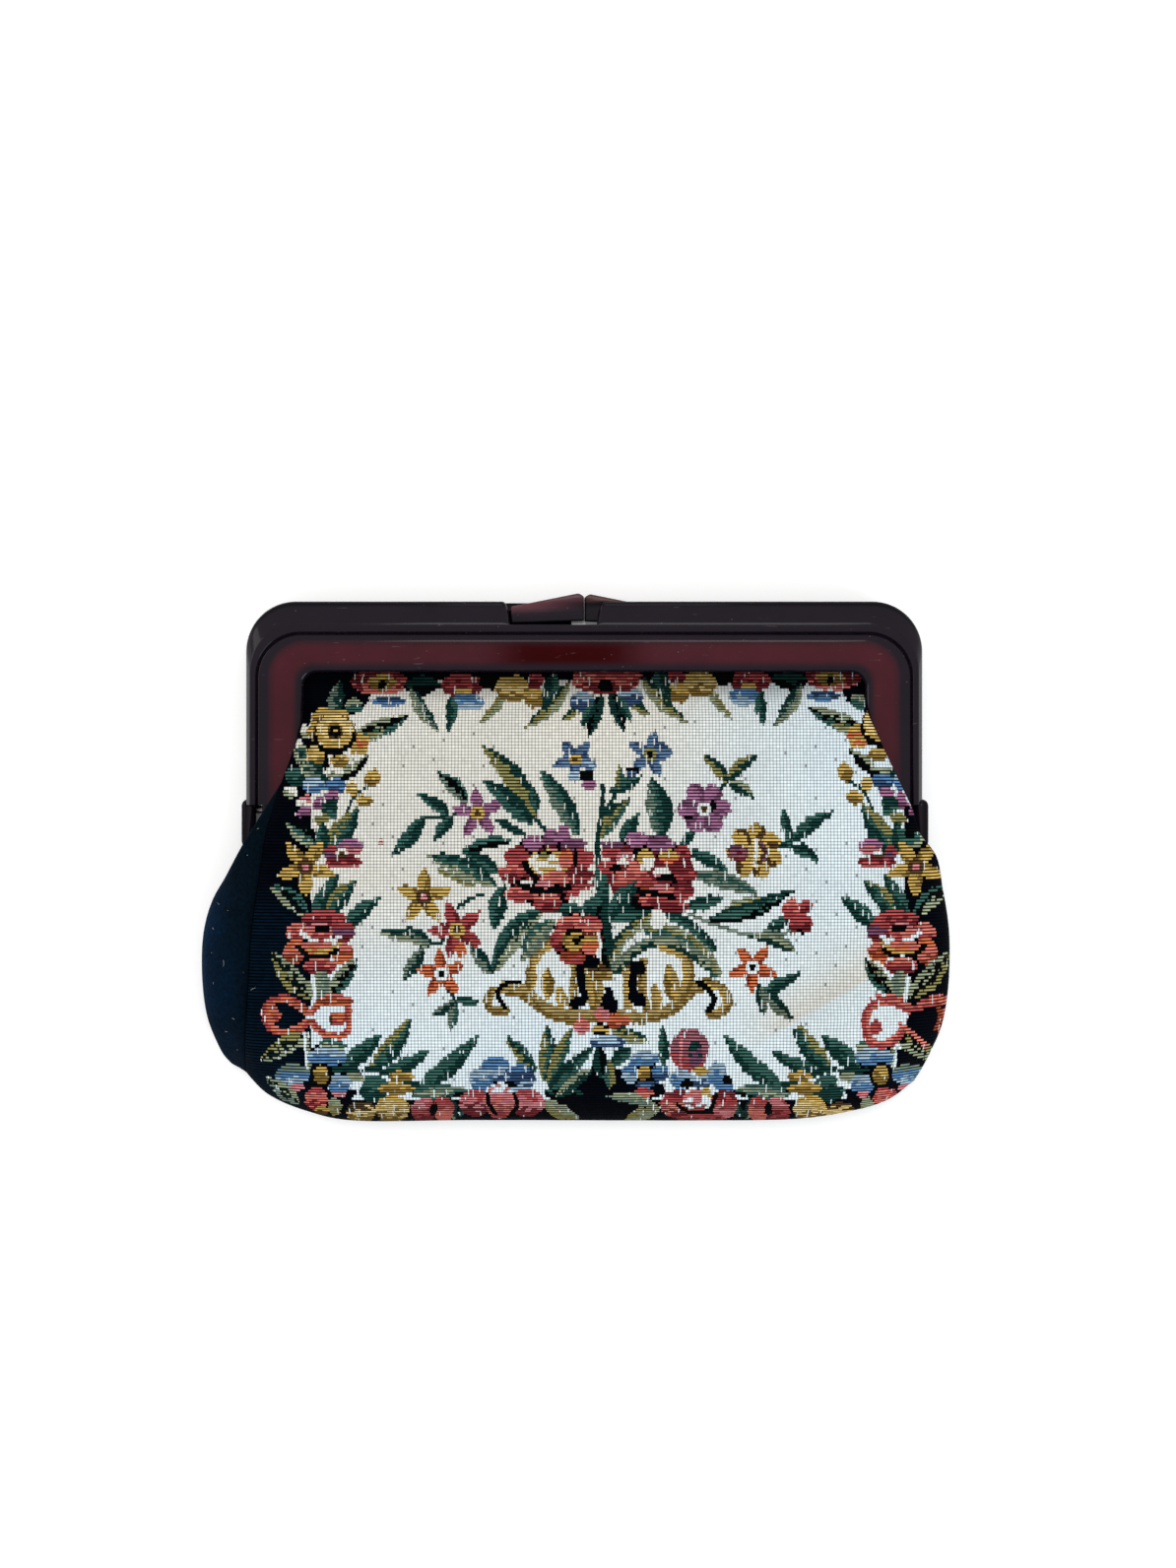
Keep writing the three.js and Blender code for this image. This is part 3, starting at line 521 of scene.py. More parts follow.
# Gold scroll under the bouquet
SCROLL = [
    ("band", ((664, 958), (657, 985), (661, 1012)), 21, "cream"),
    ("band", ((568, 962), (572, 990), (570, 1015)), 23, "cream"),
    ("band", ((602, 996), (606, 1012), (610, 1030)), 17, "old_gold dark_gold"),
    ("band", ((594, 985), (642, 985)), 19, "old_gold brown old_gold dark_gold"),
    ("petal", 616, 984, 8, 3.4, "black brown"),
    ("band", ((637, 990), (636, 1004), (638, 1022)), 9, "gold old_gold"),
    ("band", ((627, 994), (626, 1024)), 12, "cream"),
    ("band", ((620, 1031), (641, 1033), (666, 1031), (682, 1024), (694, 1013), (705, 1003), (717, 1000)), 13,
     "old_gold old_gold dark_gold"),
    ("band", ((513, 1003), (532, 1007), (543, 1017), (557, 1026), (573, 1032), (594, 1032), (614, 1029)), 14,
     "old_gold old_gold dark_gold"),
    ("band", ((597, 994), (598, 1005), (600, 1016)), 9, "gold old_gold"),
    ("leaf", 620, 1042, 617, 1001, 17, "navy"),
    ("band", ((674, 960), (691, 967), (699, 982), (697, 1000), (689, 1013)), 12, "dark_gold old_gold gold"),
    ("leaf", 686, 1019, 678, 978, 17, "dark_gold gold old_gold"),
    ("leaf", 668, 1028, 664, 998, 12, "old_gold gold"),
    ("band", ((653, 976), (652, 1000), (656, 1022)), 9, "old_gold dark_gold"),
    ("petal", 647, 983, 8, 8, "black"),
    ("petal", 647, 1014, 10, 7, "navy", 30),
    ("band", ((645, 980), (642, 996), (643, 1010)), 8, "navy"),
    ("band", ((717, 997), (732, 1003), (739, 1016), (733, 1027), (722, 1029)), 10, "dark_gold old_gold gold"),
    ("band", ((709, 997), (719, 1005), (725, 1014), (719, 1026)), 6, "black"),
    ("band", ((557, 958), (546, 968), (540, 982), (539, 999)), 11, "gold old_gold dark_gold"),
    ("leaf", 556, 1014, 556, 982, 14, "gold dark_gold"),
    ("leaf", 572, 1026, 568, 999, 12, "gold old_gold"),
    ("band", ((584, 978), (583, 1000), (580, 1020)), 9, "dark_gold old_gold"),
    ("band", ((589, 980), (590, 998), (594, 1012)), 8, "navy"),
    ("petal", 587, 1018, 9, 6, "navy", -20),
    ("band", ((501, 1005), (495, 1015), (500, 1025), (514, 1026)), 9, "old_gold dark_gold"),
    ("band", ((527, 997), (513, 999), (505, 1009), (513, 1022)), 5, "black"),
]

BOUQUET = [
    # stems
    ("band", ((609, 925), (607, 860), (612, 810), (612, 797)), 5, "deep_green"),
    ("band", ((606, 856), (614, 826), (630, 800), (653, 774)), 4, "deep_green"),
    ("band", ((536, 822), (546, 834), (558, 848)), 4.5, "deep_green"),
    ("band", ((430, 831), (446, 831), (464, 827)), 3.6, "deep_green"),
    ("band", ((739, 792), (732, 800), (724, 808)), 4, "deep_green"),
    ("band", ((786, 858), (797, 858), (806, 854)), 4, "deep_green"),
    ("band", ((700, 928), (735, 942), (765, 950), (812, 945)), 3.4, "grey_green"),
    ("band", ((428, 962), (440, 958), (454, 955)), 3.6, "deep_green"),
    ("band", ((454, 1004), (460, 1012), (463, 1021)), 3.6, "deep_green"),
    ("band", ((766, 996), (773, 1002), (780, 1008)), 3.6, "deep_green"),
    ("band", ((491, 908), (478, 912), (465, 921)), 4, "deep_green"),
    # leaves on the left
    ("leaf", 545, 830, 488, 756, 22, "olive olive deep_green", 6),
    ("leaf", 588, 850, 547, 780, 21, "grey_green green deep_green", 3),
    ("leaf", 545, 824, 541, 798, 11, "green deep_green"),
    ("leaf", 540, 838, 490, 791, 20, "green deep_green", 3),
    ("leaf", 475, 814, 444, 784, 17, "grey_green black green", 2),
    ("leaf", 458, 831, 423, 805, 13, "green deep_green", 2),
    ("leaf", 431, 829, 397, 870, 16, "deep_green green", -2),
    ("leaf", 460, 828, 440, 853, 12, "deep_green green"),
    ("leaf", 536, 849, 500, 831, 9, "deep_green"),
    ("leaf", 520, 853, 466, 866, 13, "black green", 3),
    ("leaf", 508, 886, 470, 864, 15, "green deep_green"),
    ("leaf", 505, 900, 431, 867, 20, "sage green deep_green", 4),
    ("leaf", 484, 901, 442, 881, 10, "olive sage"),
    ("leaf", 512, 898, 502, 945, 19, "deep_green green", 2),
    ("leaf", 551, 922, 499, 990, 25, "sage deep_green green", 7),
    ("leaf", 563, 934, 529, 978, 21, "grey_green sage green", 4),
    ("leaf", 592, 926, 546, 920, 17, "deep_green green", 3),
    ("leaf", 440, 960, 383, 946, 13, "sage deep_green", 3),
    ("leaf", 438, 958, 412, 941, 11, "grey_green deep_green"),
    ("leaf", 430, 964, 409, 996, 15, "deep_green grey_green"),
    ("leaf", 477, 958, 500, 989, 14, "deep_green grey_green"),
    ("leaf", 462, 1017, 438, 1032, 10, "deep_green grey_green"),
    ("leaf", 463, 1015, 487, 1018, 11, "deep_green green"),
    ("leaf", 463, 1019, 457, 1048, 11, "green grey_green"),
    # leaves on the right
    ("leaf", 672, 851, 661, 788, 27, "grey_green green deep_green deep_green", 3),
    ("leaf", 608, 852, 640, 810, 18, "deep_green olive green", -3),
    ("leaf", 629, 854, 649, 826, 14, "green deep_green"),
    ("leaf", 618, 804, 652, 787, 13, "green deep_green", 2),
    ("leaf", 629, 802, 629, 777, 9, "olive green"),
    ("leaf", 739, 795, 713, 766, 14, "olive deep_green", 2),
    ("leaf", 738, 793, 770, 765, 14, "olive deep_green", -2),
    ("leaf", 740, 794, 767, 812, 13, "sage deep_green", -2),
    ("leaf", 689, 862, 710, 836, 10, "green deep_green"),
    ("leaf", 803, 858, 794, 820, 11, "green deep_green"),
    ("leaf", 803, 855, 847, 823, 15, "green deep_green", -3),
    ("leaf", 801, 858, 832, 875, 13, "deep_green green", -2),
    ("leaf", 698, 864, 740, 886, 14, "green deep_green", -2),
    ("leaf", 703, 888, 770, 908, 18, "grey_green green grey_green", -4),
    ("leaf", 694, 922, 735, 911, 15, "deep_green green"),
    ("leaf", 735, 923, 774, 911, 10, "sage olive"),
    ("leaf", 718, 934, 808, 903, 18, "deep_green green black", 5),
    ("leaf", 778, 945, 803, 932, 12, "green deep_green"),
    ("leaf", 760, 949, 811, 969, 15, "grey_green sage deep_green", -6),
    ("leaf", 775, 1005, 813, 987, 13, "green deep_green", 2),
    ("leaf", 777, 1004, 806, 1037, 14, "deep_green grey_green", 2),
    ("leaf", 771, 1000, 776, 1032, 12, "grey_green deep_green"),
    # leaves under the roses
    ("petal", 610, 906, 9, 30, "green deep_green"),
    ("petal", 635, 906, 14, 15, "green deep_green"),
    ("petal", 632, 927, 30, 10, "deep_green green"),
    ("petal", 602, 922, 11, 12, "green deep_green"),
    ("band", ((621, 886), (620, 922)), 4, "cream"),
    ("band", ((612, 926), (615, 950), (618, 975)), 14, "deep_green deep_green black"),
    ("band", ((673, 926), (691, 934), (709, 946), (722, 962)), 11, "deep_green green"),
    ("band", ((660, 944), (682, 945), (702, 955), (717, 969), (727, 988)), 12, "sage olive green"),
    ("band", ((622, 972), (630, 955), (646, 940), (660, 931)), 13, "deep_green olive sage"),
    ("band", ((626, 983), (640, 969), (657, 958), (675, 955), (695, 962), (718, 979)), 12,
     "grey_green sage deep_green"),
    ("petal", 668, 934, 8, 10, "cream"),
    ("petal", 598, 976, 11, 7, "navy"),
    # small flowers
    ("petal", 585, 769, 14, 9, "deep_blue grey_blue"),
    ("star", 584, 771, 24, 5, -125, "grey_blue deep_blue gold brown"),
    ("petal", 583, 788, 6, 6, "light_blue"),
    ("petal", 597, 777, 7, 5, "light_blue grey_blue", 30),
    ("petal", 596, 787, 8, 6, "black"),
    ("petal", 598, 797, 8, 5, "mauve"),
    ("petal", 666, 763, 13, 11, "deep_blue grey_blue"),
    ("star", 660, 766, 25, 5, -78, "grey_blue deep_blue olive black"),
    ("petal", 642, 783, 6, 6, "black deep_blue"),
    ("star", 485, 826, 27, 5, -95, "mauve plum gold brown"),
    ("round", 715, 821, 27, 6, 0, "mauve plum cream brown"),
    ("petal", 724, 818, 3, 6, "black"),
    ("petal", 699, 832, 5, 3.4, "black plum"),
    ("round", 766, 864, 29, 7, 20, "gold brown light_gold deep_red"),
    ("petal", 749, 866, 10, 9, "plum plum_red deep_red"),
    ("band", ((772, 856), (777, 866), (772, 876)), 5, "plum brown"),
    ("band", ((766, 855), (766, 878)), 7, "cream light_gold"),
    ("star", 430, 911, 30, 5, -88, "gold dark_gold brown pink"),
    ("star", 464, 944, 30, 5, -110, "red deep_red gold brown"),
    ("petal", 468, 964, 6, 8, "orange"),
    ("star", 448, 989, 26, 5, -95, "orange rust cream black"),
    ("star", 764, 982, 26, 5, -125, "orange rust cream black"),
    ("petal", 813, 938, 12, 11, "red deep_red"),
    ("petal", 803, 923, 9, 11, "coral red", 15),
    ("petal", 818, 920, 7, 7, "red deep_red"),
    ("petal", 814, 945, 9, 3.5, "deep_red black"),
    ("petal", 387, 855, 2.5, 2.5, "stain"),
    # left rose
    ("petal", 556, 884, 42, 38, "black deep_red deep_red black"),
    ("petal", 541.6, 855.6, 10, 9, "mauve"),
    ("petal", 559.5, 850, 9, 10, "mauve plum"),
    ("petal", 572.5, 847, 7, 9, "mauve"),
    ("petal", 583, 857, 13, 7, "plum"),
    ("petal", 559.5, 863, 6, 4, "pink"),
    ("petal", 524, 869, 13, 9, "red"),
    ("petal", 519.5, 886, 15, 8, "coral red deep_red"),
    ("petal", 557, 876, 22, 13, "gold cream gold"),
    ("petal", 553, 867, 8, 4, "black olive"),
    ("petal", 575, 872, 8, 10, "orange coral"),
    ("petal", 592, 871.6, 11, 10, "red"),
    ("band", ((584, 864), (584, 878)), 4, "black"),
    ("band", ((532, 876), (540, 888), (550, 894)), 6, "black"),
    ("band", ((538, 872), (546, 884), (554, 889)), 3.4, "cream"),
    ("petal", 565, 891, 18, 6, "coral"),
    ("petal", 590, 888, 14, 7, "deep_red deep_red red"),
    ("petal", 553, 899, 10, 5, "pink"),
    ("petal", 535, 896, 7, 3, "cream"),
    ("petal", 590, 907, 16, 9, "red cream", -20),
    ("petal", 529, 908, 17, 8, "coral red"),
    ("petal", 556, 917, 15, 10, "coral red deep_red"),
    ("band", ((528, 899), (548, 905), (569, 903)), 6, "black"),
    # right rose
    ("petal", 660, 886, 44, 38, "black deep_red deep_red black"),
    ("petal", 622, 858, 12, 5, "plum"),
    ("petal", 647, 852, 12, 8, "mauve"),
    ("petal", 671, 856, 15, 8, "plum mauve"),
    ("petal", 622, 866, 11, 6, "red"),
    ("petal", 693, 868, 9, 10, "red deep_red"),
    ("petal", 618, 880, 11, 7, "red"),
    ("petal", 679, 870, 10, 7, "gold orange"),
    ("petal", 635, 871, 9, 8, "pink cream"),
    ("petal", 656, 873, 9, 11, "gold cream"),
    ("petal", 644, 881, 6, 6, "coral"),
    ("petal", 625, 882, 6, 4, "black"),
    ("petal", 641, 889, 18, 6, "coral red"),
    ("petal", 672, 887, 9, 6, "cream pink"),
    ("petal", 656, 899, 12, 8, "red rust"),
    ("petal", 696, 888, 12, 8, "deep_red red deep_red"),
    ("petal", 693, 904, 12, 10, "deep_red red"),
    ("petal", 672, 903, 13, 6, "pink coral"),
    ("petal", 637, 897, 15, 6, "coral red"),
    ("petal", 662, 914, 14, 6, "coral red"),
    ("petal", 678, 918, 22, 8, "red deep_red", 12),
    ("band", ((642, 904), (660, 906), (684, 911)), 5, "black"),
    ("leaf", 618, 932, 646, 894, 19, "green deep_green"),
    ("band", ((668, 892), (677, 891), (684, 892)), 5, "black"),
    # lower rose
    ("petal", 586, 953, 26, 25, "black deep_red black"),
    ("petal", 574, 938, 9, 8, "coral red"),
    ("petal", 586, 935, 6, 7, "coral"),
    ("petal", 600, 938, 12, 9, "red coral"),
    ("petal", 566, 954, 8, 11, "coral red deep_red"),
    ("petal", 600, 959, 10, 12, "gold orange coral"),
    ("petal", 581, 972, 13, 8, "rust red"),
    ("petal", 582, 954, 12, 11, "black gold dark_gold gold"),
    ("petal", 585, 955, 4, 4, "black"),
    ("band", ((607, 949), (610, 959), (606, 969)), 3.4, "cream"),
]

# Look of the weave: the threads of a cell, the length of a run of like stitches, the rise of the motifs
WEAVE_SEED = 41
THREADS = ("left", "middle", "right")
STITCH_RUN = 5
MOTIF_RELIEF = 0.14

# Unevenness of the wool, and how tones hatch into each other and edges are ragged
GROUND_SHADE = 0.04
MOTIF_SHADE = 0.22
ROW_SHADE = 0.08
HATCHING = 0.2
RAGGED_EDGE = 1.2
SHADE_LIMITS = (0.3, 1.5)

# Pale flecks in the motifs and dark specks in the ground
FLECK_SHARE = 0.03
FLECK_RUN = (1, 4)
SPECK_COLUMNS = 3
SPECK_ROWS = 16
SPECK_SLANT = 2
SPECK_SHARE = 0.5
SPECK_SHADE = 0.38

# Painted light on the cream: warm at the upper left, cool and bluish at the right and lower down, in photo
# pixels
PAINTED_LIGHT_TURN_X = (600.0, 860.0)
PAINTED_LIGHT_TURN_Y = (880.0, 1060.0)
COOL_PAINTED_LIGHT = (0.97, 1.13, 1.3)
WARM_PAINTED_LIGHT = (1.0, 1.0, 0.985)

# Crease at the lower right, in photo pixels: painted warm shade lies above its line, none below it
CREASE_FROM = (803.0, 1040.0)
CREASE_TO = (883.0, 994.0)
CREASE_REACH = 34.0
CREASE_EDGE = 3.0
CREASE_PAINTED_SHADE = (0.98, 0.86, 0.76)

# Painted shadow darkens the cloth where it goes under the rail, and painted shade darkens it where it turns
# down to the bottom seam, in photo pixels
RAIL_PAINTED_SHADOW = 0.36
RAIL_PAINTED_SHADOW_SPAN = (688.0, 718.0)
SEAM_PAINTED_SHADE = 0.6
SEAM_PAINTED_SHADE_SPAN = (1146.0, 1112.0)

# Painted sheen makes the navy threads beside the velvet bluer lower down, in photo pixels
NAVY_PAINTED_SHEEN = (1.5, 4.5, 3.4)
NAVY_SHEEN_TURN_X = (330.0, 285.0)
NAVY_SHEEN_TURN_Y = (885.0, 945.0)

# Old wool is warmer in some places than in others
COOL_SOIL = (0.985, 1.0, 1.02, 1.0)
WARM_SOIL = (1.0, 0.98, 0.95, 1.0)

# Tones of the frame's plastic: rim, thin red flange, deeper red at the top centre, amber lug ends, and the
# painted light on the lug's upper edge, which is amber where the lug leaves the rail
RIM_TONE = (21, 14, 24)
WINE_TONE = (62, 16, 26)
DEEP_WINE_TONE = (46, 2, 4)
AMBER_PAINTED_LIGHT_TONE = (92, 47, 42)
LUG_PAINTED_LIGHT_TONE = (92, 52, 60)
DEEP_WINE_SPAN = (-34.0, 24.0)
DEEP_WINE_FADE = 18.0
CENTRE_DULLING = 0.9
# The rim's outer chamfer: the section line at its edge, how far about that line the change fades, and how
# much painted shade darkens its tone and dulls its coat
RIM_EDGE_LINE = 2
RIM_EDGE_FADE = (-0.6, 0.3)
RIM_EDGE_SHADE_AND_DULLING = 0.6
# Painted light on the lug's upper edge: where up the lug it starts and is full, its share at the near end,
# and a small margin about the top of the rail and the lug's far end
LUG_PAINTED_LIGHT_RISE = (0.45, 0.98)
LUG_PAINTED_LIGHT_NEAR = 0.5
AMBER_MARGIN = 0.1

# Painted sheen turns the velvet from its dark nap to blue away from the seam, which leans by this much x a
# unit of y
SEAM_LEAN = 0.02
PAINTED_SHEEN_TURN = (-96.5, -112.0)

# Lint on the velvet: photo pixel of each long fibre and its heading in degrees, the short ones' number,
# lengths, headings in radians and places, and the form of a fibre
LINT_SEED = 7
LONG_LINT = [(233, 978, 70), (261, 1001, 20)]
LONG_LINT_LENGTH = 2.0
SHORT_LINT_COUNT = 10
LINT_LENGTH = (0.4, 0.9)
LINT_HEADINGS = 6.28
LINT_SPAN_Y = (-58.0, 10.0)
LINT_MARGIN = 1.5
LINT_LEAST_SPAN = 0.1
LINT_STEPS = 5
LINT_SIDES = (0.0, 2.1, 4.2)
LINT_RADIUS = 0.04
LINT_LIFT = 0.08
LINT_ARCH = 0.25
LINT_TURN = 0.5

# How far uneven noise is spread, the edge of a dust speck, and the form of scratches
MOTTLE_SPAN = (0.3, 0.7)
DUST_EDGE = (0.08, 0.2)
SCRATCH_STRETCH = (0.16, 1.0, 1.0)
SCRATCH_TURN = (0.0, 0.0, 0.35)
SCRATCH_LEVEL = 0.74
SCRATCH_EDGE = 0.05

# Screen tones of the materials, and how strongly dust, scratches and a coat show on them
PLASTIC_DUST_TONE = (150, 146, 150)
PLASTIC_DUST = 0.25
PLASTIC_SCRATCH_TONE = (190, 180, 186)
PLASTIC_SCRATCH = 0.06
SCRATCH_ROUGHNESS = 0.18
PLASTIC_COAT = 0.3
STEEL_TONES = ((178, 174, 172), (214, 212, 210))
# Velvet: the dark of its nap and the blue of its painted sheen
NAP_AND_PAINTED_SHEEN_TONES = ((2, 11, 19), (4, 29, 54))
NAP_SHEEN = (96, 128, 176)
VELVET_DUST_TONE = (120, 126, 134)
VELVET_DUST = 0.15
LINT_TONES = ((150, 150, 156), (215, 214, 212))

# Painted shade and light of the weave: where a weft rib rises and how light it is there, from the painted
# shade between ribs to the painted light on their crests, how wide the gaps of the cream ground are and how
# dark the painted shade along their lines and at their crossings, the light of the ground, and the height of
# the warp
RIB_RISE = (0.42, 0.97)
RIB_PAINTED_SHADE_AND_LIGHT = (0.03, 1.12)
THREAD_GAP = 0.75
LINE_PAINTED_SHADE = 0.5
CROSSING_PAINTED_SHADE = 0.4
GROUND_LIGHT = 0.9
WARP_HEIGHT = 0.35

# The floor is a white sheet that glows a little
WHITE = (1.0, 1.0, 1.0, 1.0)
FLOOR_TONE = (0.9, 0.9, 0.9, 1.0)
FLOOR_GLOW = 0.25
FLOOR_HALF = 6000.0
FLOOR_Z = -0.1

# Lights: name, place in metres, size in metres, power in watts, tint
LIGHTS = [
    ("window_right", (1.0, -0.9, 0.7), 0.8, 7.0, (0.9, 0.96, 1.0)),
    ("lamp_left", (-1.2, 0.4, 0.6), 0.8, 4.0, (1.0, 0.97, 0.92)),
    ("window_top", (0.05, 0.5, 1.3), 0.5, 3.0, (1.0, 1.0, 1.0)),
    ("window_far", (0.0, 1.4, 0.4), 0.3, 0.5, (1.0, 1.0, 1.0)),
]
SKY_STRENGTH = 0.82


# Small helpers
def linear(screen):
    """A screen colour of 0 to 255 as the light it stands for."""
    share = np.asarray(screen, float) / 255
    return np.where(share <= 0.04045, share / 12.92, ((share + 0.055) / 1.055) ** 2.4)


def smooth_step(value, low, high):
    share = np.clip((value - low) / (high - low), 0, 1)
    return share * share * (3 - 2 * share)


def quarter_round(share):
    share = np.clip(share, 0, 1)
    return np.sqrt(1 - (1 - share) ** 2)


def blend(low, high, share):
    return low + (high - low) * share


def crowded(count):
    """Shares from 0 to 1 that crowd at both ends."""
    return (1 - np.cos(np.linspace(0, math.pi, count))) / 2


def length_along(first, second):
    """Length of a line up to each of its points, from their two coordinates."""
    return np.concatenate([[0], np.cumsum(np.hypot(np.diff(first), np.diff(second)))])


def smooth_line(points, steps=12):
    """Points along a smooth line through the given ones."""
    points = np.asarray(points, float)
    ends = np.vstack([2 * points[0] - points[1], points, 2 * points[-1] - points[-2]])
    share = np.arange(steps)[:, None] / steps
    spans = []
    for before, start, end, after in zip(ends, ends[1:], ends[2:], ends[3:]):
        slope = end - before
        curve = 2 * before - 5 * start + 4 * end - after
        twist = 3 * start - before - 3 * end + after
        spans.append(start + 0.5 * (slope * share + curve * share ** 2 + twist * share ** 3))
    return np.vstack(spans + [points[-1:]])


def link_object(name, data):
    """A new object in the scene."""
    added = bpy.data.objects.new(name, data)
    bpy.context.scene.collection.objects.link(added)
    return added


def link_mesh(name, vertices, faces):
    """A new piece from millimetre points and its faces."""
    mesh = bpy.data.meshes.new(name)
    mesh.from_pydata((np.asarray(vertices, float) * MM).tolist(), [], faces)
    return link_object(name, mesh)


def apply_modifiers(piece):
    """Keeps the shape that the piece's modifiers give it."""
    bpy.context.view_layer.update()
    shaped = piece.evaluated_get(bpy.context.evaluated_depsgraph_get())
    mesh = bpy.data.meshes.new_from_object(shaped)
    piece.modifiers.clear()
    piece.data = mesh


def combine(piece, other, operation):
    """Adds another solid to the piece or cuts it away."""
    cut = piece.modifiers.new("combine", "BOOLEAN")
    cut.operation = operation
    cut.solver = "EXACT"
    cut.object = other
    apply_modifiers(piece)
    bpy.data.objects.remove(other)


# Outline and heights of the pouch
FRONT_LEFT = smooth_line([(row[0], row[1]) for row in FRONT_SECTIONS])
FRONT_RIGHT = smooth_line([(row[2], row[3]) for row in FRONT_SECTIONS])
OUTLINE_LEFT = np.vstack([
    smooth_line([(row[0], row[1]) for row in FRONT_SECTIONS[FREE_EDGE_ROW:SEAM_TOP_ROW + 1]]),
    smooth_line([(row[0], row[1]) for row in BACK_SECTIONS]),
])
OUTLINE_RIGHT = np.vstack([
    smooth_line([(row[2], row[3]) for row in FRONT_SECTIONS[FREE_EDGE_ROW:RIGHT_HINGE_ROW + 1]]),
    smooth_line([(row[2], row[3]) for row in BACK_SECTIONS]),
])
BOTTOM_LINE = smooth_line(BOTTOM_SEAM)


def edge_x(line, y):
    """x of an edge line at a given y; the line runs down from the clasp."""
    return np.interp(-np.asarray(y, float), -line[:, 1], line[:, 0])


def bottom_y(x):
    return np.interp(x, BOTTOM_LINE[:, 0], BOTTOM_LINE[:, 1])


def edge_height(y):
    """Height of the outer seam: up over the hinges, low at the sides and the bottom."""
    side = blend(HINGE_EDGE_Z, SIDE_EDGE_Z, smooth_step(-y, -HINGE_FALL_Y[0], -HINGE_FALL_Y[1]))
    return blend(side, BOTTOM_EDGE_Z, smooth_step(-y, -BOTTOM_FALL_Y[0], -BOTTOM_FALL_Y[1]))


def fullness(x, y, rounding):
    """0 at the outline and 1 where the pouch is full."""
    side, bottom = rounding
    left = quarter_round((x - edge_x(OUTLINE_LEFT, y)) / side)
    right = quarter_round((edge_x(OUTLINE_RIGHT, y) - x) / side)
    return left * right * quarter_round((y - bottom_y(x)) / bottom)


def clear_of_flange(x, y, tuck_ends):
    """0 where the cloth lies under the frame's flange and 1 where it is free of it."""
    leg_end = np.where(x < FRAME_CENTRE_X, tuck_ends[0], tuck_ends[1])
    inward = np.maximum(FLANGE_EDGE_X - LEG_FLAT - np.abs(x - FRAME_CENTRE_X), 0)
    below = np.maximum(leg_end - y, 0)
    beside_leg = smooth_step(np.hypot(inward, below), 0, LEG_SLOPE)
    return np.minimum(smooth_step(FLANGE_EDGE_Y - y, 0, TOP_SLOPE), beside_leg)


def fold_height(x, y):
    height = np.zeros_like(x)
    for from_x, from_y, to_x, to_y, rise, spread in FOLDS:
        run_x, run_y = to_x - from_x, to_y - from_y
        share = np.clip(((x - from_x) * run_x + (y - from_y) * run_y) / (run_x ** 2 + run_y ** 2), 0, 1)
        away = np.hypot(x - from_x - share * run_x, y - from_y - share * run_y)
        height += rise * np.exp(-(away / spread) ** 2)
    return height


def pucker_height(x, y):
    """Slight unevenness of soft cloth, strongest near the bottom seam."""
    wave = np.zeros_like(x)
    for by_x, by_y, start, sway in PUCKER_WAVES:
        wave += np.sin(by_x * x + by_y * y + start + sway * np.sin(PUCKER_SWAY * y))
    near_seam = np.exp(-np.maximum(y - bottom_y(x), 0) / PUCKER_REACH)
    return PUCKER_HEIGHT * wave * (PUCKER_SHARE + PUCKER_AT_SEAM * near_seam)


def front_height(x, y):
    """Height of the outer face of the pouch's front."""
    x, y = np.broadcast_arrays(np.asarray(x, float), np.asarray(y, float))
    crown = np.interp(-y, [-row[0] for row in CROWN], [row[1] for row in CROWN])
    free = crown + fold_height(x, y) + pucker_height(x, y)
    full = blend(edge_height(y) + SEAM_GAP, free, fullness(x, y, FRONT_ROUNDING))
    height = blend(TUCK_FRONT_Z, full, clear_of_flange(x, y, FRONT_TUCK_ENDS))
    from_seam = (x - edge_x(FRONT_LEFT, y)) / SEAM_DIP_WIDTH
    below_top = smooth_step(STRIP_TOP_Y - y, 0, SEAM_DIP_START)
    return height - SEAM_DIP * below_top * np.exp(-from_seam ** 2)


def back_height(x, y):
    """Height of the outer face of the pouch's back."""
    x, y = np.broadcast_arrays(np.asarray(x, float), np.asarray(y, float))
    tucked = TUCK_BACK_Z * (1 - clear_of_flange(x, y, (BACK_TUCK_END, BACK_TUCK_END)))
    rounded = (edge_height(y) - SEAM_GAP) * (1 - fullness(x, y, BACK_ROUNDING))
    return np.where(y > SHOULDER_Y, tucked, rounded)


def photo_pixel(x, y, z):
    """The photo pixel at which the camera sees a point."""
    scale = CAMERA_DISTANCE / (CAMERA_DISTANCE - (z - PIXEL_Z)) / PIXEL
    return PHOTO_WIDE / 2 + (x - CAMERA_X) * scale, PHOTO_HIGH / 2 - (y - CAMERA_Y) * scale


def under_pixel(px, py):
    """The bag's x and y under a photo pixel, at the height of the photo's scale."""
    return CAMERA_X + (px - PHOTO_WIDE / 2) * PIXEL, CAMERA_Y - (py - PHOTO_HIGH / 2) * PIXEL


# Motifs of the tapestry
class WeaveChart:
    """Where each woven cell lies in the photo and the wool tone it is worked in."""

    def __init__(self, x, y, tone, waver):
        self.x = x
        self.y = y
        self.tone = tone
        self.waver = waver

    def mirrored(self, axis, pull):
        """The same cells seen across an upright axis, where the cloth is pulled in and up near the clasp."""
        share = 1 - smooth_step(self.y, *RIGHT_PULL_SPAN)
        x = 2 * axis - self.x - pull[0] * share
        return WeaveChart(x, self.y + pull[1] * share, self.tone, self.waver)

    def work(self, inside, share, tones):
        """Works the cells of a motif in its tones, which share it equally and hatch into each other."""
        numbers = np.array([TONE_NAMES.index(name) for name in tones.split()])
        pick = np.floor((share + HATCHING * self.waver) * len(numbers)).astype(int)
        pick = np.clip(pick, 0, len(numbers) - 1)
        self.tone[inside] = numbers[pick[inside]]


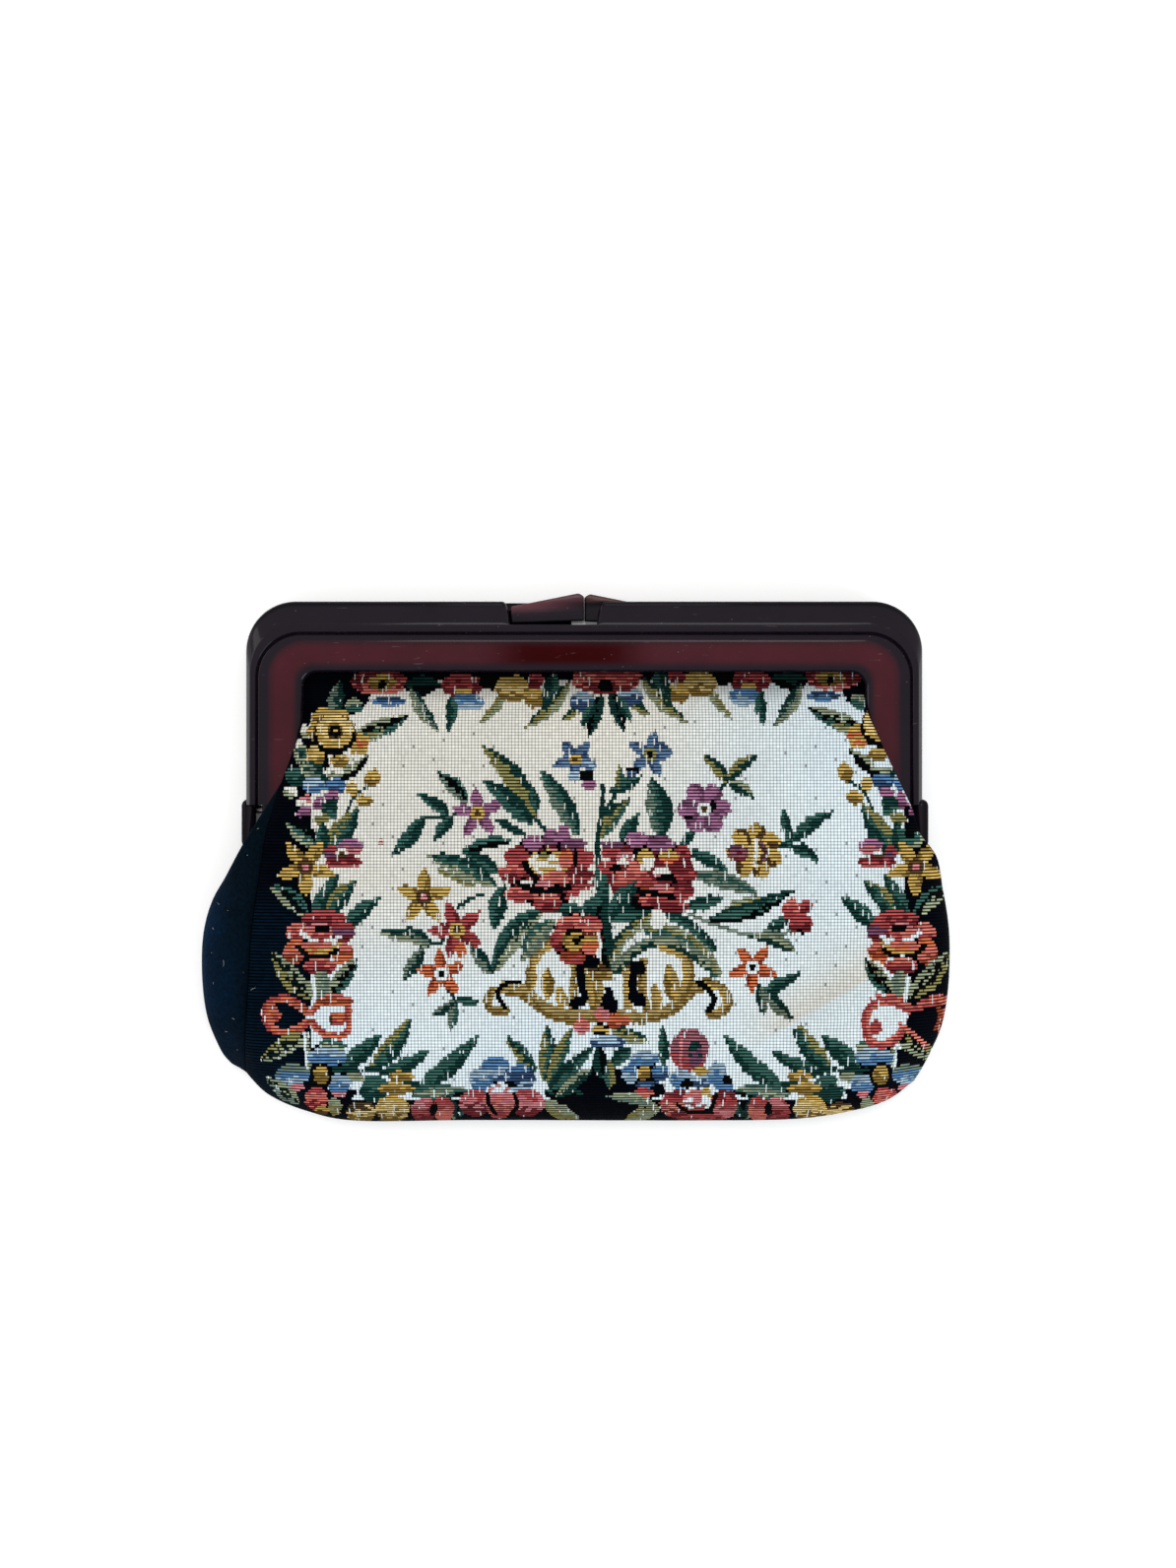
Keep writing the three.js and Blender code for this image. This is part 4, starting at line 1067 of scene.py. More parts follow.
def leaf(chart, base_x, base_y, tip_x, tip_y, width, tones, bend=0):
    run_x, run_y = tip_x - base_x, tip_y - base_y
    length = math.hypot(run_x, run_y)
    run_x, run_y = run_x / length, run_y / length
    from_x, from_y = chart.x - base_x, chart.y - base_y
    along = np.clip((from_x * run_x + from_y * run_y) / length, 0, 1)
    across = from_y * run_x - from_x * run_y - bend * np.sin(math.pi * along)
    half = 0.5 * width * np.sin(math.pi * along ** LEAF_WIDEST) ** LEAF_FULLNESS + TINY
    inside = (np.abs(across) + RAGGED_EDGE * chart.waver < half) & (along > 0) & (along < 1)
    chart.work(inside, 0.5 + 0.5 * across / half, tones)


def band(chart, points, width, tones):
    line = smooth_line(points, BAND_STEPS)
    best = np.full(chart.x.shape, np.inf)
    side = np.zeros(chart.x.shape)
    for (start_x, start_y), (end_x, end_y) in zip(line, line[1:]):
        run_x, run_y = end_x - start_x, end_y - start_y
        from_x, from_y = chart.x - start_x, chart.y - start_y
        share = np.clip((from_x * run_x + from_y * run_y) / (run_x ** 2 + run_y ** 2), 0, 1)
        away = np.hypot(from_x - share * run_x, from_y - share * run_y)
        nearer = away < best
        best = np.where(nearer, away, best)
        side = np.where(nearer, np.sign(from_y * run_x - from_x * run_y), side)
    inside = best + 0.5 * RAGGED_EDGE * chart.waver < width / 2
    chart.work(inside, 0.5 + side * best / width, tones)


def petal(chart, x, y, half_width, half_height, tones, tilt=0):
    turn = math.radians(tilt)
    from_x, from_y = chart.x - x, chart.y - y
    across = (from_x * math.cos(turn) + from_y * math.sin(turn)) / half_width
    down = (from_y * math.cos(turn) - from_x * math.sin(turn)) / half_height
    ragged = RAGGED_EDGE * chart.waver / max(half_width, half_height)
    chart.work(np.hypot(across, down) + ragged < 1, 0.5 + 0.5 * down, tones)


def flower(chart, x, y, radius, petals, turn, tones, narrowing, power):
    """A flower of like petals; each narrows away from its middle line."""
    petal_tone, shade, heart, eye = tones.split()
    from_x, from_y = chart.x - x, chart.y - y
    away = np.hypot(from_x, from_y) / radius
    sector = (np.degrees(np.arctan2(from_y, from_x)) - turn) * petals / 360
    off_middle = 2 * (sector - np.round(sector))
    reach = 1 - narrowing * np.abs(off_middle) ** power
    inside = away + RAGGED_EDGE * chart.waver / radius < reach
    chart.work(inside, 0.5 + 0.5 * off_middle, f"{petal_tone} {petal_tone} {shade}")
    chart.work(away < HEART_SHARE, away, heart)
    chart.work(away < EYE_SHARE, away, eye)


def star(chart, *values):
    flower(chart, *values, *STAR_FORM)


def rosette(chart, *values):
    flower(chart, *values, *ROUND_FORM)


MOTIFS = {"leaf": leaf, "band": band, "petal": petal, "star": star, "round": rosette}


def work_motifs(chart, rows):
    for kind, *values in rows:
        MOTIFS[kind](chart, *values)


def stitch_waver(shape, random):
    """Uneven value from -1 to 1, alike along short runs of each weft row."""
    rows, threads = shape
    runs = random.uniform(-1, 1, (rows, threads // STITCH_RUN + 2))
    start = random.integers(0, STITCH_RUN, (rows, 1))
    return np.take_along_axis(runs, (np.arange(threads) + start) // STITCH_RUN, axis=1)


def work_chart(px, py, random):
    """The tone of every cell: the ground, then the borders, the scroll and the bouquet."""
    border = (px < FIELD_LEFT) | (px > FIELD_RIGHT) | (py < FIELD_TOP) | (py > FIELD_BOTTOM)
    tone = np.where(border, TONE_NAMES.index("navy"), TONE_NAMES.index("cream"))
    chart = WeaveChart(px, py, tone, stitch_waver(px.shape, random))
    borders = [
        (TOP_BORDER, TOP_BORDER_AXIS, TOP_RIGHT_PULL),
        (SIDE_BORDER, SIDE_BORDER_AXIS, SIDE_RIGHT_PULL),
        (BOTTOM_BORDER, BOTTOM_BORDER_AXIS, NO_PULL),
    ]
    for rows, axis, pull in borders:
        work_motifs(chart.mirrored(axis, pull), rows)
        work_motifs(chart, rows)
    for rows in (RIGHT_BOW, SCROLL, BOTTOM_MIDDLE, BOUQUET):
        work_motifs(chart, rows)
    return chart.tone


def cloth_piece(name, points, beyond, cells):
    """The outer face of a cloth over a grid of points, without the cells beyond its edges."""
    rounded = np.round(points.reshape(-1, 3), MERGE_DECIMALS)
    kept, number = np.unique(rounded, axis=0, return_inverse=True)
    number = number.reshape(points.shape[:2])
    faces = []
    places = []
    for row, column in np.argwhere(cells):
        if beyond[row:row + 2, column:column + 2].all():
            continue
        ring = [*number[row:row + 2, column], *number[row:row + 2, column + 1][::-1]]
        ring = [int(point) for place, point in enumerate(ring) if point != ring[place - 1]]
        if len(ring) < 3 or len(set(ring)) != len(ring):
            continue
        faces.append(ring)
        places.append((row, column))
    used = np.unique(np.concatenate(faces))
    renumber = np.full(len(kept), -1)
    renumber[used] = np.arange(len(used))
    faces = [renumber[face].tolist() for face in faces]
    return link_mesh(name, kept[used], faces), np.array(places)


def thicken(piece, thickness):
    solid = piece.modifiers.new("thickness", "SOLIDIFY")
    solid.thickness = thickness * MM
    solid.offset = -1
    apply_modifiers(piece)
    piece.data.shade_smooth()


def cloth_row(x, y, height):
    """Points of a row of cloth, held at the bottom seam where the row runs past it."""
    y = np.maximum(y, bottom_y(x))
    return np.stack([x, y, height(x, y)], axis=1)


def even_rows():
    """y of each weft row, evenly spaced along the cloth down its middle."""
    y = blend(CLOTH_TOP_Y, CLOTH_BOTTOM_Y, crowded(ROW_PROFILE_STEPS))
    z = front_height(np.zeros_like(y), np.maximum(y, bottom_y(0)))
    along = length_along(y, z)
    count = int(along[-1] / ROW_PITCH) + 2
    return np.interp(ROW_PITCH * np.arange(count), along, y)


def woven_grid():
    """Outer points of the tapestry, one a crossing of warp and weft, and which lie beyond its edges."""
    column = COLUMN_PITCH * np.arange(-MOST_COLUMNS, MOST_COLUMNS + 1)
    share = crowded(PROFILE_STEPS)
    points = []
    beyond = []
    for y in even_rows():
        x = blend(edge_x(FRONT_LEFT, y) + SEAM_GAP, edge_x(FRONT_RIGHT, y), share)
        along = length_along(x, cloth_row(x, y, front_height)[:, 2])
        along -= np.interp(0, x, along)
        cell_x = np.interp(column, along, x)
        points.append(cloth_row(cell_x, y, front_height))
        beyond.append((column < along[0]) | (column > along[-1]) | (y < bottom_y(cell_x)))
    return np.array(points), np.array(beyond)


def thread_places(points):
    """Photo pixels of the threads of every cell, which lie side by side in it."""
    centre = (points[:-1, :-1] + points[1:, :-1] + points[:-1, 1:] + points[1:, 1:]) / 4
    width = (points[:-1, 1:] + points[1:, 1:] - points[:-1, :-1] - points[1:, :-1]) / 2
    aside = (np.arange(len(THREADS)) + 0.5) / len(THREADS) - 0.5
    threads = centre[:, :, None] + width[:, :, None] * aside[:, None]
    return photo_pixel(*np.moveaxis(threads.reshape(len(centre), -1, 3), 2, 0))


def fleck_threads(shape, random):
    """Threads where a pale warp comes up, in short upright runs."""
    flecks = np.zeros(shape, bool)
    starts = np.argwhere(random.random(shape) < FLECK_SHARE / np.mean(FLECK_RUN))
    for row, thread in starts:
        flecks[row:row + random.integers(*FLECK_RUN), thread] = True
    return flecks


def speck_threads(shape, random):
    """Threads of the small dark specks, on a slanting lattice of cells that lacks some."""
    row, thread = np.indices(shape)
    cell = thread // len(THREADS)
    lattice = (cell % SPECK_COLUMNS == 0) & ((row + SPECK_SLANT * cell) % SPECK_ROWS == 0)
    seen = np.repeat(random.random((shape[0], shape[1] // len(THREADS))) < SPECK_SHARE, len(THREADS), axis=1)
    return lattice & seen & (thread % len(THREADS) > 0)


def crease_painted_shade(px, py):
    """How much painted shade lies above the crease: 1 at its line, fading upwards and past its ends."""
    run_x, run_y = CREASE_TO[0] - CREASE_FROM[0], CREASE_TO[1] - CREASE_FROM[1]
    length = math.hypot(run_x, run_y)
    from_x, from_y = px - CREASE_FROM[0], py - CREASE_FROM[1]
    along = (from_x * run_x + from_y * run_y) / length
    above = (from_x * run_y - from_y * run_x) / length
    past_end = np.maximum(np.maximum(-along, along - length), 0)
    fade = np.exp(-(np.hypot(np.maximum(above, 0), past_end) / CREASE_REACH) ** 2)
    return fade * smooth_step(above, -CREASE_EDGE, CREASE_EDGE)


def thread_colours(px, py, tone, random):
    """Linear colour of every thread, and 1 where it is a motif and not the cream ground."""
    rows, threads = tone.shape
    palette = np.array([linear(screen) for screen in TONES.values()])
    cream = TONE_NAMES.index("cream")
    dark = np.isin(tone, [TONE_NAMES.index(name) for name in ("navy", "black")])
    tone = np.where(fleck_threads(tone.shape, random) & ~dark, cream, tone)
    ground = tone == cream
    # Painted light on the cream: warm at the upper left, cool at the right and lower down
    warm_light_share = (1 - smooth_step(px, *PAINTED_LIGHT_TURN_X)) * (1 - smooth_step(py, *PAINTED_LIGHT_TURN_Y))
    tint = np.where(ground[..., None], blend(np.array(COOL_PAINTED_LIGHT), np.array(WARM_PAINTED_LIGHT), warm_light_share[..., None]), 1)
    # Painted warm shade above the crease
    tint = tint * blend(1.0, np.array(CREASE_PAINTED_SHADE), crease_painted_shade(px, py)[..., None])
    # Painted sheen on the navy threads beside the velvet
    navy_painted_sheen_share = dark * smooth_step(px, *NAVY_SHEEN_TURN_X) * smooth_step(py, *NAVY_SHEEN_TURN_Y)
    tint = tint * blend(1.0, np.array(NAVY_PAINTED_SHEEN), navy_painted_sheen_share[..., None])
    by_cell = np.repeat(random.standard_normal((rows, threads // len(THREADS))), len(THREADS), axis=1)
    by_row = ROW_SHADE * random.standard_normal((rows, 1))
    by_stitch = stitch_waver(tone.shape, random)
    shade = 1 + np.where(ground, GROUND_SHADE * by_cell, MOTIF_SHADE * by_stitch + by_row)
    shade = np.where(ground & speck_threads(tone.shape, random), SPECK_SHADE, shade)
    # Painted shadow under the rail and painted shade where the cloth turns down to the bottom seam
    painted_edge_shade = blend(RAIL_PAINTED_SHADOW, 1.0, smooth_step(py, *RAIL_PAINTED_SHADOW_SPAN))
    painted_edge_shade *= blend(SEAM_PAINTED_SHADE, 1.0, smooth_step(py, *SEAM_PAINTED_SHADE_SPAN))
    colour = palette[tone] * tint * (painted_edge_shade * np.clip(shade, *SHADE_LIMITS))[..., None]
    return colour, np.where(ground, 0.0, 1.0)


def tapestry():
    """Woven front of the pouch, every thread in its own tone."""
    random = np.random.default_rng(WEAVE_SEED)
    points, beyond = woven_grid()
    px, py = thread_places(points)
    tone = work_chart(px, py, random)
    colour, motif = thread_colours(px, py, tone, random)
    raised_cells = motif.reshape(len(motif), -1, len(THREADS)).mean(axis=2)
    relief = np.zeros(points.shape[:2])
    for down in (0, 1):
        for along in (0, 1):
            relief[down:down + len(motif), along:along + raised_cells.shape[1]] += raised_cells / 4
    raised = points.copy()
    raised[..., 2] += MOTIF_RELIEF * np.where(beyond, 0, relief)
    piece, places = cloth_piece("woven_tapestry", raised, beyond, np.ones(raised_cells.shape, bool))
    colour_threads(piece, places, colour, motif)
    thicken(piece, CLOTH)
    return piece


def colour_threads(piece, places, colour, motif):
    """Stores every cell's thread tones on its face's corners, and its place in the weave."""
    mesh = piece.data
    row, column = places[:, 0], places[:, 1]
    count = np.array([polygon.loop_total for polygon in mesh.polygons])
    for number, thread in enumerate(THREADS):
        place = len(THREADS) * column + number
        tone = np.concatenate([colour[row, place], motif[row, place][:, None]], axis=1)
        stored = mesh.attributes.new("thread_" + thread, "FLOAT_COLOR", "CORNER")
        stored.data.foreach_set("color", np.repeat(tone, count, axis=0).astype(np.float32).ravel())
    weave = mesh.uv_layers.new(name="weave_cells")
    corners = []
    for (cell_row, cell_column), polygon in zip(places, mesh.polygons):
        ring = [(0, 1), (0, 0), (1, 0), (1, 1)][:polygon.loop_total]
        corners += [(cell_column + across, -cell_row + up) for across, up in ring]
    weave.data.foreach_set("uv", np.array(corners, np.float32).ravel())


def back_columns():
    """x of the velvet back's columns at its shoulder, with one at each leg of the frame."""
    x = blend(edge_x(OUTLINE_LEFT, SHOULDER_Y), edge_x(OUTLINE_RIGHT, SHOULDER_Y), crowded(BACK_COLUMNS))
    for end in BACK_BETWEEN_LEGS:
        x[np.argmin(np.abs(x - end))] = end
    return x


def velvet_cells(rows, columns):
    """Which cells are cloth: the strip up to its top, and above the shoulder only those between the legs."""
    upper = rows[1:] >= SHOULDER_Y
    between = (columns >= BACK_BETWEEN_LEGS[0]) & (columns <= BACK_BETWEEN_LEGS[1])
    strip = np.ones((len(upper), STRIP_COLUMNS - 1), bool)
    strip[rows[:-1] > STRIP_TOP_Y] = False
    back = np.ones((len(upper), BACK_COLUMNS - 1), bool)
    back[upper] &= between[:-1] & between[1:]
    return np.concatenate([strip, ~upper[:, None], back], axis=1)


def velvet():
    """Velvet back of the pouch, with the strip that wraps round the left side to the seam."""
    rows = blend(CLOTH_TOP_Y, CLOTH_BOTTOM_Y, crowded(VELVET_ROWS))
    rows = np.sort(np.append(rows, [SHOULDER_Y, STRIP_TOP_Y]))[::-1]
    columns = back_columns()
    back_share = (columns - columns[0]) / np.ptp(columns)
    strip_share = np.sin(np.linspace(0, math.pi / 2, STRIP_COLUMNS))
    points = []
    beyond = []
    for y in rows:
        seam = edge_x(FRONT_LEFT, y) - SEAM_GAP
        left = edge_x(OUTLINE_LEFT, y)
        strip_x = blend(seam, np.minimum(left, seam), strip_share)
        back_x = columns if y > SHOULDER_Y else blend(left, edge_x(OUTLINE_RIGHT, y), back_share)
        strip, back = cloth_row(strip_x, y, front_height), cloth_row(back_x, y, back_height)
        points.append(np.concatenate([strip, back]))
        beyond.append(y < bottom_y(np.concatenate([strip_x, back_x])))
    grid = (np.array(points), np.array(beyond), velvet_cells(rows, columns))
    piece, _ = cloth_piece("navy_velvet", *(part[:, ::-1] for part in grid))
    thicken(piece, CLOTH)
    return piece


# Moulded frame
def rounded_section():
    """Rows of the frame's section with every edge eased and long spans split, and which are in the hollow."""
    rows = np.array(FRAME_SECTION)
    eased = []
    hollow = []
    for place, row in enumerate(rows):
        before, after = rows[place - 1], rows[(place + 1) % len(rows)]
        start = row + (before - row) * ease_share(row, before)
        end = row + (after - row) * ease_share(row, after)
        for share in np.linspace(0, 1, SECTION_ROUND_STEPS):
            eased.append((1 - share) ** 2 * start + 2 * share * (1 - share) * row + share ** 2 * end)
            hollow.append(place >= FIRST_HOLLOW_ROW)
    split = []
    in_hollow = []
    for place, row in enumerate(eased):
        after = eased[(place + 1) % len(eased)]
        parts = max(1, math.ceil(section_distance(row, after) / LONGEST_SPAN))
        for part in range(parts):
            split.append(blend(row, after, part / parts))
            in_hollow.append(hollow[place])
    return np.array(split), np.array(in_hollow)


def section_distance(row, other):
    """Distance between two rows of the section, with the insets at the legs and at the top averaged."""
    return math.hypot((other[0] + other[1] - row[0] - row[1]) / 2, other[3] - row[3])


def ease_share(row, other):
    """How much of the way to another row the rounding of this one takes up."""
    return min(MOST_EASE, row[4] / max(section_distance(row, other), TINY))


def rail_stations():
    """x of the stations along the straight rail, close together at the ends of the notch."""
    ends = []
    for end, way in ((NOTCH["near"], 1), (NOTCH["far"], -1)):
        ends += [end + way * NOTCH["corner"] * step / NOTCH_STEPS for step in range(NOTCH_STEPS + 1)]
    plain = np.arange(-RAIL_REACH, RAIL_REACH + RAIL_SPAN / 2, RAIL_SPAN)
    clear = [x for x in plain if all(abs(x - end) > STATION_CLEARANCE for end in ends)]
    return np.array(sorted(ends + clear))


def notched(x, y, in_hollow):
    """y of a section line with the clasp's notch pressed into it."""
    along = np.minimum(x - NOTCH["near"], NOTCH["far"] - x) / NOTCH["corner"]
    depth = 1 - np.sqrt(1 - np.clip(along, 0, 1) ** 2)
    floor = NOTCH["floor_y"] - (HOLLOW_WALL if in_hollow else 0)
    return blend(y, np.minimum(y, floor), depth)


def frame_line(row, in_hollow):
    """One line of the frame, up the left leg, along the rail and down the right leg."""
    side, top, radius, depth = row[:4]
    half, top_y = FRAME_HALF_WIDTH - side, FRAME_TOP_Y - top
    leg_y = np.linspace(LEG_END_Y, top_y - radius, LEG_STEPS)[:-1]
    leg = np.stack([np.full_like(leg_y, -half), leg_y], axis=1)
    angle = np.radians(np.linspace(180, 90, CORNER_STEPS))
    turn = radius * np.stack([np.cos(angle), np.sin(angle)], axis=1)
    corner = turn + (radius - half, top_y - radius)
    rail_x = rail_stations()
    rail = np.stack([rail_x, notched(rail_x, np.full_like(rail_x, top_y), in_hollow)], axis=1)
    left = np.concatenate([leg, corner])
    line = np.concatenate([left, rail, left[::-1] * (-1, 1)])
    return np.column_stack([line, np.full(len(line), depth)])


def frame_rails():
    """The bent rail of a half, lofted through its section lines and closed at the leg ends."""
    section, in_hollow = rounded_section()
    lines = np.array([frame_line(row, hollow) for row, hollow in zip(section, in_hollow)])
    count, stations = lines.shape[:2]
    number = np.arange(count * stations).reshape(count, stations)
    faces = []
    for line, after in zip(number, np.roll(number, -1, axis=0)):
        faces += np.stack([line[:-1], line[1:], after[1:], after[:-1]], axis=1).tolist()
    faces += [number[:, 0].tolist(), number[::-1, -1].tolist()]
    piece = link_mesh("frame_rails", lines.reshape(-1, 3), faces)
    recalculate_normals(piece)
    return piece


def recalculate_normals(piece):
    work = bmesh.new()
    work.from_mesh(piece.data)
    bmesh.ops.recalc_face_normals(work, faces=work.faces)
    work.to_mesh(piece.data)
    work.free()


def prism(name, ring, far_ring):
    """A solid between two like rings of points."""
    count = len(ring)
    faces = [tuple(range(count))[::-1], tuple(range(count, 2 * count))]
    for place in range(count):
        after = (place + 1) % count
        faces.append((place, after, after + count, place + count))
    piece = link_mesh(name, ring + far_ring, faces)
    recalculate_normals(piece)
    return piece


def extruded(name, outline, low_z, high_z, rounding):
    """An outline in x and y raised between two heights, its edges rounded over."""
    piece = prism(name, [(x, y, low_z) for x, y in outline], [(x, y, high_z) for x, y in outline])
    if rounding:
        edge = piece.modifiers.new("rounding", "BEVEL")
        edge.width = rounding * MM
        edge.segments = EDGE_SEGMENTS
        edge.limit_method = "NONE"
        apply_modifiers(piece)
    return piece


def block(name, sizes, rounding=0):
    (left, right), (low, high), (back, front) = sizes["x"], sizes["y"], sizes["z"]
    return extruded(name, [(left, low), (right, low), (right, high), (left, high)], back, front, rounding)


def bore(left, right):
    """A round rod along X at the hinge line, to be cut away for the pin."""
    angle = np.arange(BORE_SIDES) * 2 * math.pi / BORE_SIDES
    ring = np.stack([HINGE_Y + BORE_RADIUS * np.cos(angle), BORE_RADIUS * np.sin(angle)], axis=1)
    return prism("hinge_bore", [(left, y, z) for y, z in ring], [(right, y, z) for y, z in ring])


def frame_half():
    """One half of the frame about its own centre: rails, clasp lug, hinge ear and hinge tongue."""
    half = frame_rails()
    ear = block("hinge_ear", EAR, EAR["rounding"])
    combine(ear, block("ear_clearance", EAR_CLEARANCE), "DIFFERENCE")
    lug = extruded("clasp_lug", LUG_OUTLINE, *LUG_Z, LUG_ROUNDING)
    score(lug, LUG_CUTS)
    tongue = block("hinge_tongue", TONGUE, TONGUE["rounding"])
    for added in (lug, ear, tongue):
        combine(half, added, "UNION")
    for (left, right), inward in ((EAR["x"], EAR_BORE_INWARD), (TONGUE["x"], BORE_OVERRUN)):
        combine(half, bore(left - inward, right + BORE_OVERRUN), "DIFFERENCE")
    return half


def inside_line(row, x, y):
    """How far a point lies inside one line of the frame's section."""
    side, top, radius = row[:3]
    past_x = np.abs(x) - (FRAME_HALF_WIDTH - side - radius)
    past_y = y - (FRAME_TOP_Y - top - radius)
    in_corner = (past_x > 0) & (past_y > 0)
    return radius - np.where(in_corner, np.hypot(past_x, past_y), np.maximum(past_x, past_y))


def flange_share(x, y):
    """1 on the thin flange and 0 on the thick rim and the rolled inner edge."""
    past_outer, past_inner = (
        smooth_step(inside_line(FRAME_SECTION[line], x, y), *fade)
        for line, fade in zip(FLANGE_LINES, FLANGE_FADES)
    )
    return past_outer * (1 - past_inner)


def score(piece, levels):
    """Cuts a piece's faces at the given y, so that its tone and painted light can change up a face."""
    shape = bmesh.new()
    shape.from_mesh(piece.data)
    for y in levels:
        every = shape.verts[:] + shape.edges[:] + shape.faces[:]
        bmesh.ops.bisect_plane(shape, geom=every, plane_co=(0, y * MM, 0), plane_no=(0, 1, 0))
    shape.to_mesh(piece.data)
    shape.free()


def lug_painted_light_share(x, y, z):
    """How much painted light a point gets on the upper edge of the clasp lug, and 1 where the lug leaves the
    rail.
    """
    leaves_rail = (z > 0) & (y > FRAME_TOP_Y + AMBER_MARGIN)
    on_lug = ((z < 0) | leaves_rail) & (x > 0) & (x < LUG_FAR_X + AMBER_MARGIN)
    share = np.clip(x / LUG_FAR_X, 0, 1)
    foot = blend(LUG_OUTLINE[0][1], LUG_OUTLINE[1][1], share)
    crest = blend(LUG_OUTLINE[3][1], LUG_OUTLINE[2][1], share)
    rise = (y - foot) / (crest - foot)
    return on_lug * smooth_step(rise, *LUG_PAINTED_LIGHT_RISE) * blend(LUG_PAINTED_LIGHT_NEAR, 1.0, share), 1.0 * leaves_rail


def vertex_places(mesh):
    place = np.zeros(len(mesh.vertices) * 3)
    mesh.vertices.foreach_get("co", place)
    return place.reshape(-1, 3)


def tone_plastic(half):
    """Stores the plastic's tone and sheen on every point, from how thick the moulding is there, with painted
    shade on the rim's outer chamfer and painted light on the upper edge of the clasp lug.
    """
    x, y, z = (vertex_places(half.data) / MM).T
    flange = flange_share(x, y)
    centre = smooth_step(x, DEEP_WINE_SPAN[0], DEEP_WINE_SPAN[0] + DEEP_WINE_FADE)
    centre *= 1 - smooth_step(x, DEEP_WINE_SPAN[1] - DEEP_WINE_FADE, DEEP_WINE_SPAN[1])
    wine = blend(linear(WINE_TONE), linear(DEEP_WINE_TONE), centre[:, None])
    tone = blend(linear(RIM_TONE), wine, flange[:, None])
    # Painted shade darkens the rim's outer chamfer, whose coat is also duller
    edge = 1 - smooth_step(inside_line(FRAME_SECTION[RIM_EDGE_LINE], x, y), *RIM_EDGE_FADE)
    edge *= y < FRAME_TOP_Y + AMBER_MARGIN
    edge_shade_and_dulling = 1 - RIM_EDGE_SHADE_AND_DULLING * edge
    # Painted light on the lug's upper edge, amber where the lug leaves the rail
    share, thin = lug_painted_light_share(x, y, z)
    lug_painted_light_tone = blend(linear(LUG_PAINTED_LIGHT_TONE), linear(AMBER_PAINTED_LIGHT_TONE), thin[:, None])
    tone = blend(tone * edge_shade_and_dulling[:, None], lug_painted_light_tone, share[:, None])
    sheen = (1 - CENTRE_DULLING * centre * flange) * edge_shade_and_dulling
    stored = half.data.attributes.new("plastic_tone", "FLOAT_COLOR", "POINT")
    stored.data.foreach_set("color", np.column_stack([tone, sheen]).astype(np.float32).ravel())


def frame_halves():
    """Front and back halves in place."""
    front = frame_half()
    front.data.shade_smooth()
    front.data.set_sharp_from_angle(angle=math.radians(SHARP_ANGLE))
    tone_plastic(front)
    front.name = "moulded_frame_front"
    even = front.modifiers.new("even_shading", "WEIGHTED_NORMAL")
    even.keep_sharp = True
    apply_modifiers(front)
    back = link_object("moulded_frame_back", front.data.copy())
    place = vertex_places(front.data)
    centre = np.array([FRAME_CENTRE_X, 0, PARTING_Z]) * MM
    for half, turn in ((front, (1, 1, 1)), (back, (-1, 1, -1))):
        half.data.vertices.foreach_set("co", (place * turn + centre).ravel())
        half.data.update()
    return front, back


# Lint on the velvet
def lint_fibre(vertices, faces, x, y, heading, length, random):
    """A short bent fibre lying on the velvet."""
    start = len(vertices)
    sides = len(LINT_SIDES)
    spans = LINT_STEPS - 1
    for step in range(LINT_STEPS):
        z = float(front_height(x, y)) + LINT_LIFT + LINT_ARCH * math.sin(math.pi * step / spans)
        for angle in LINT_SIDES:
            aside, up = LINT_RADIUS * math.cos(angle), LINT_RADIUS * math.sin(angle)
            vertices.append((x - aside * math.sin(heading), y + aside * math.cos(heading), z + up))
        x += length / spans * math.cos(heading)
        y += length / spans * math.sin(heading)
        heading += random.uniform(-LINT_TURN, LINT_TURN)
    for ring in range(start, start + sides * spans, sides):
        for side in range(sides):
            after = (side + 1) % sides
            faces.append((ring + side, ring + after, ring + sides + after, ring + sides + side))
    faces.append(tuple(range(start, start + sides))[::-1])
    faces.append(tuple(range(len(vertices) - sides, len(vertices))))


def velvet_lint():
    """Pale fibres caught on the velvet strip."""
    random = np.random.default_rng(LINT_SEED)
    vertices = []
    faces = []
    for px, py, heading in LONG_LINT:
        x, y = under_pixel(px, py)
        lint_fibre(vertices, faces, x, y, math.radians(heading), LONG_LINT_LENGTH, random)
    for _ in range(SHORT_LINT_COUNT):
        y = random.uniform(*LINT_SPAN_Y)
        left, right = edge_x(OUTLINE_LEFT, y) + LINT_MARGIN, edge_x(FRONT_LEFT, y) - LINT_MARGIN
        x = random.uniform(left, max(right, left + LINT_LEAST_SPAN))
        heading = random.uniform(0, LINT_HEADINGS)
        lint_fibre(vertices, faces, x, y, heading, random.uniform(*LINT_LENGTH), random)
    return link_mesh("velvet_lint", vertices, faces)


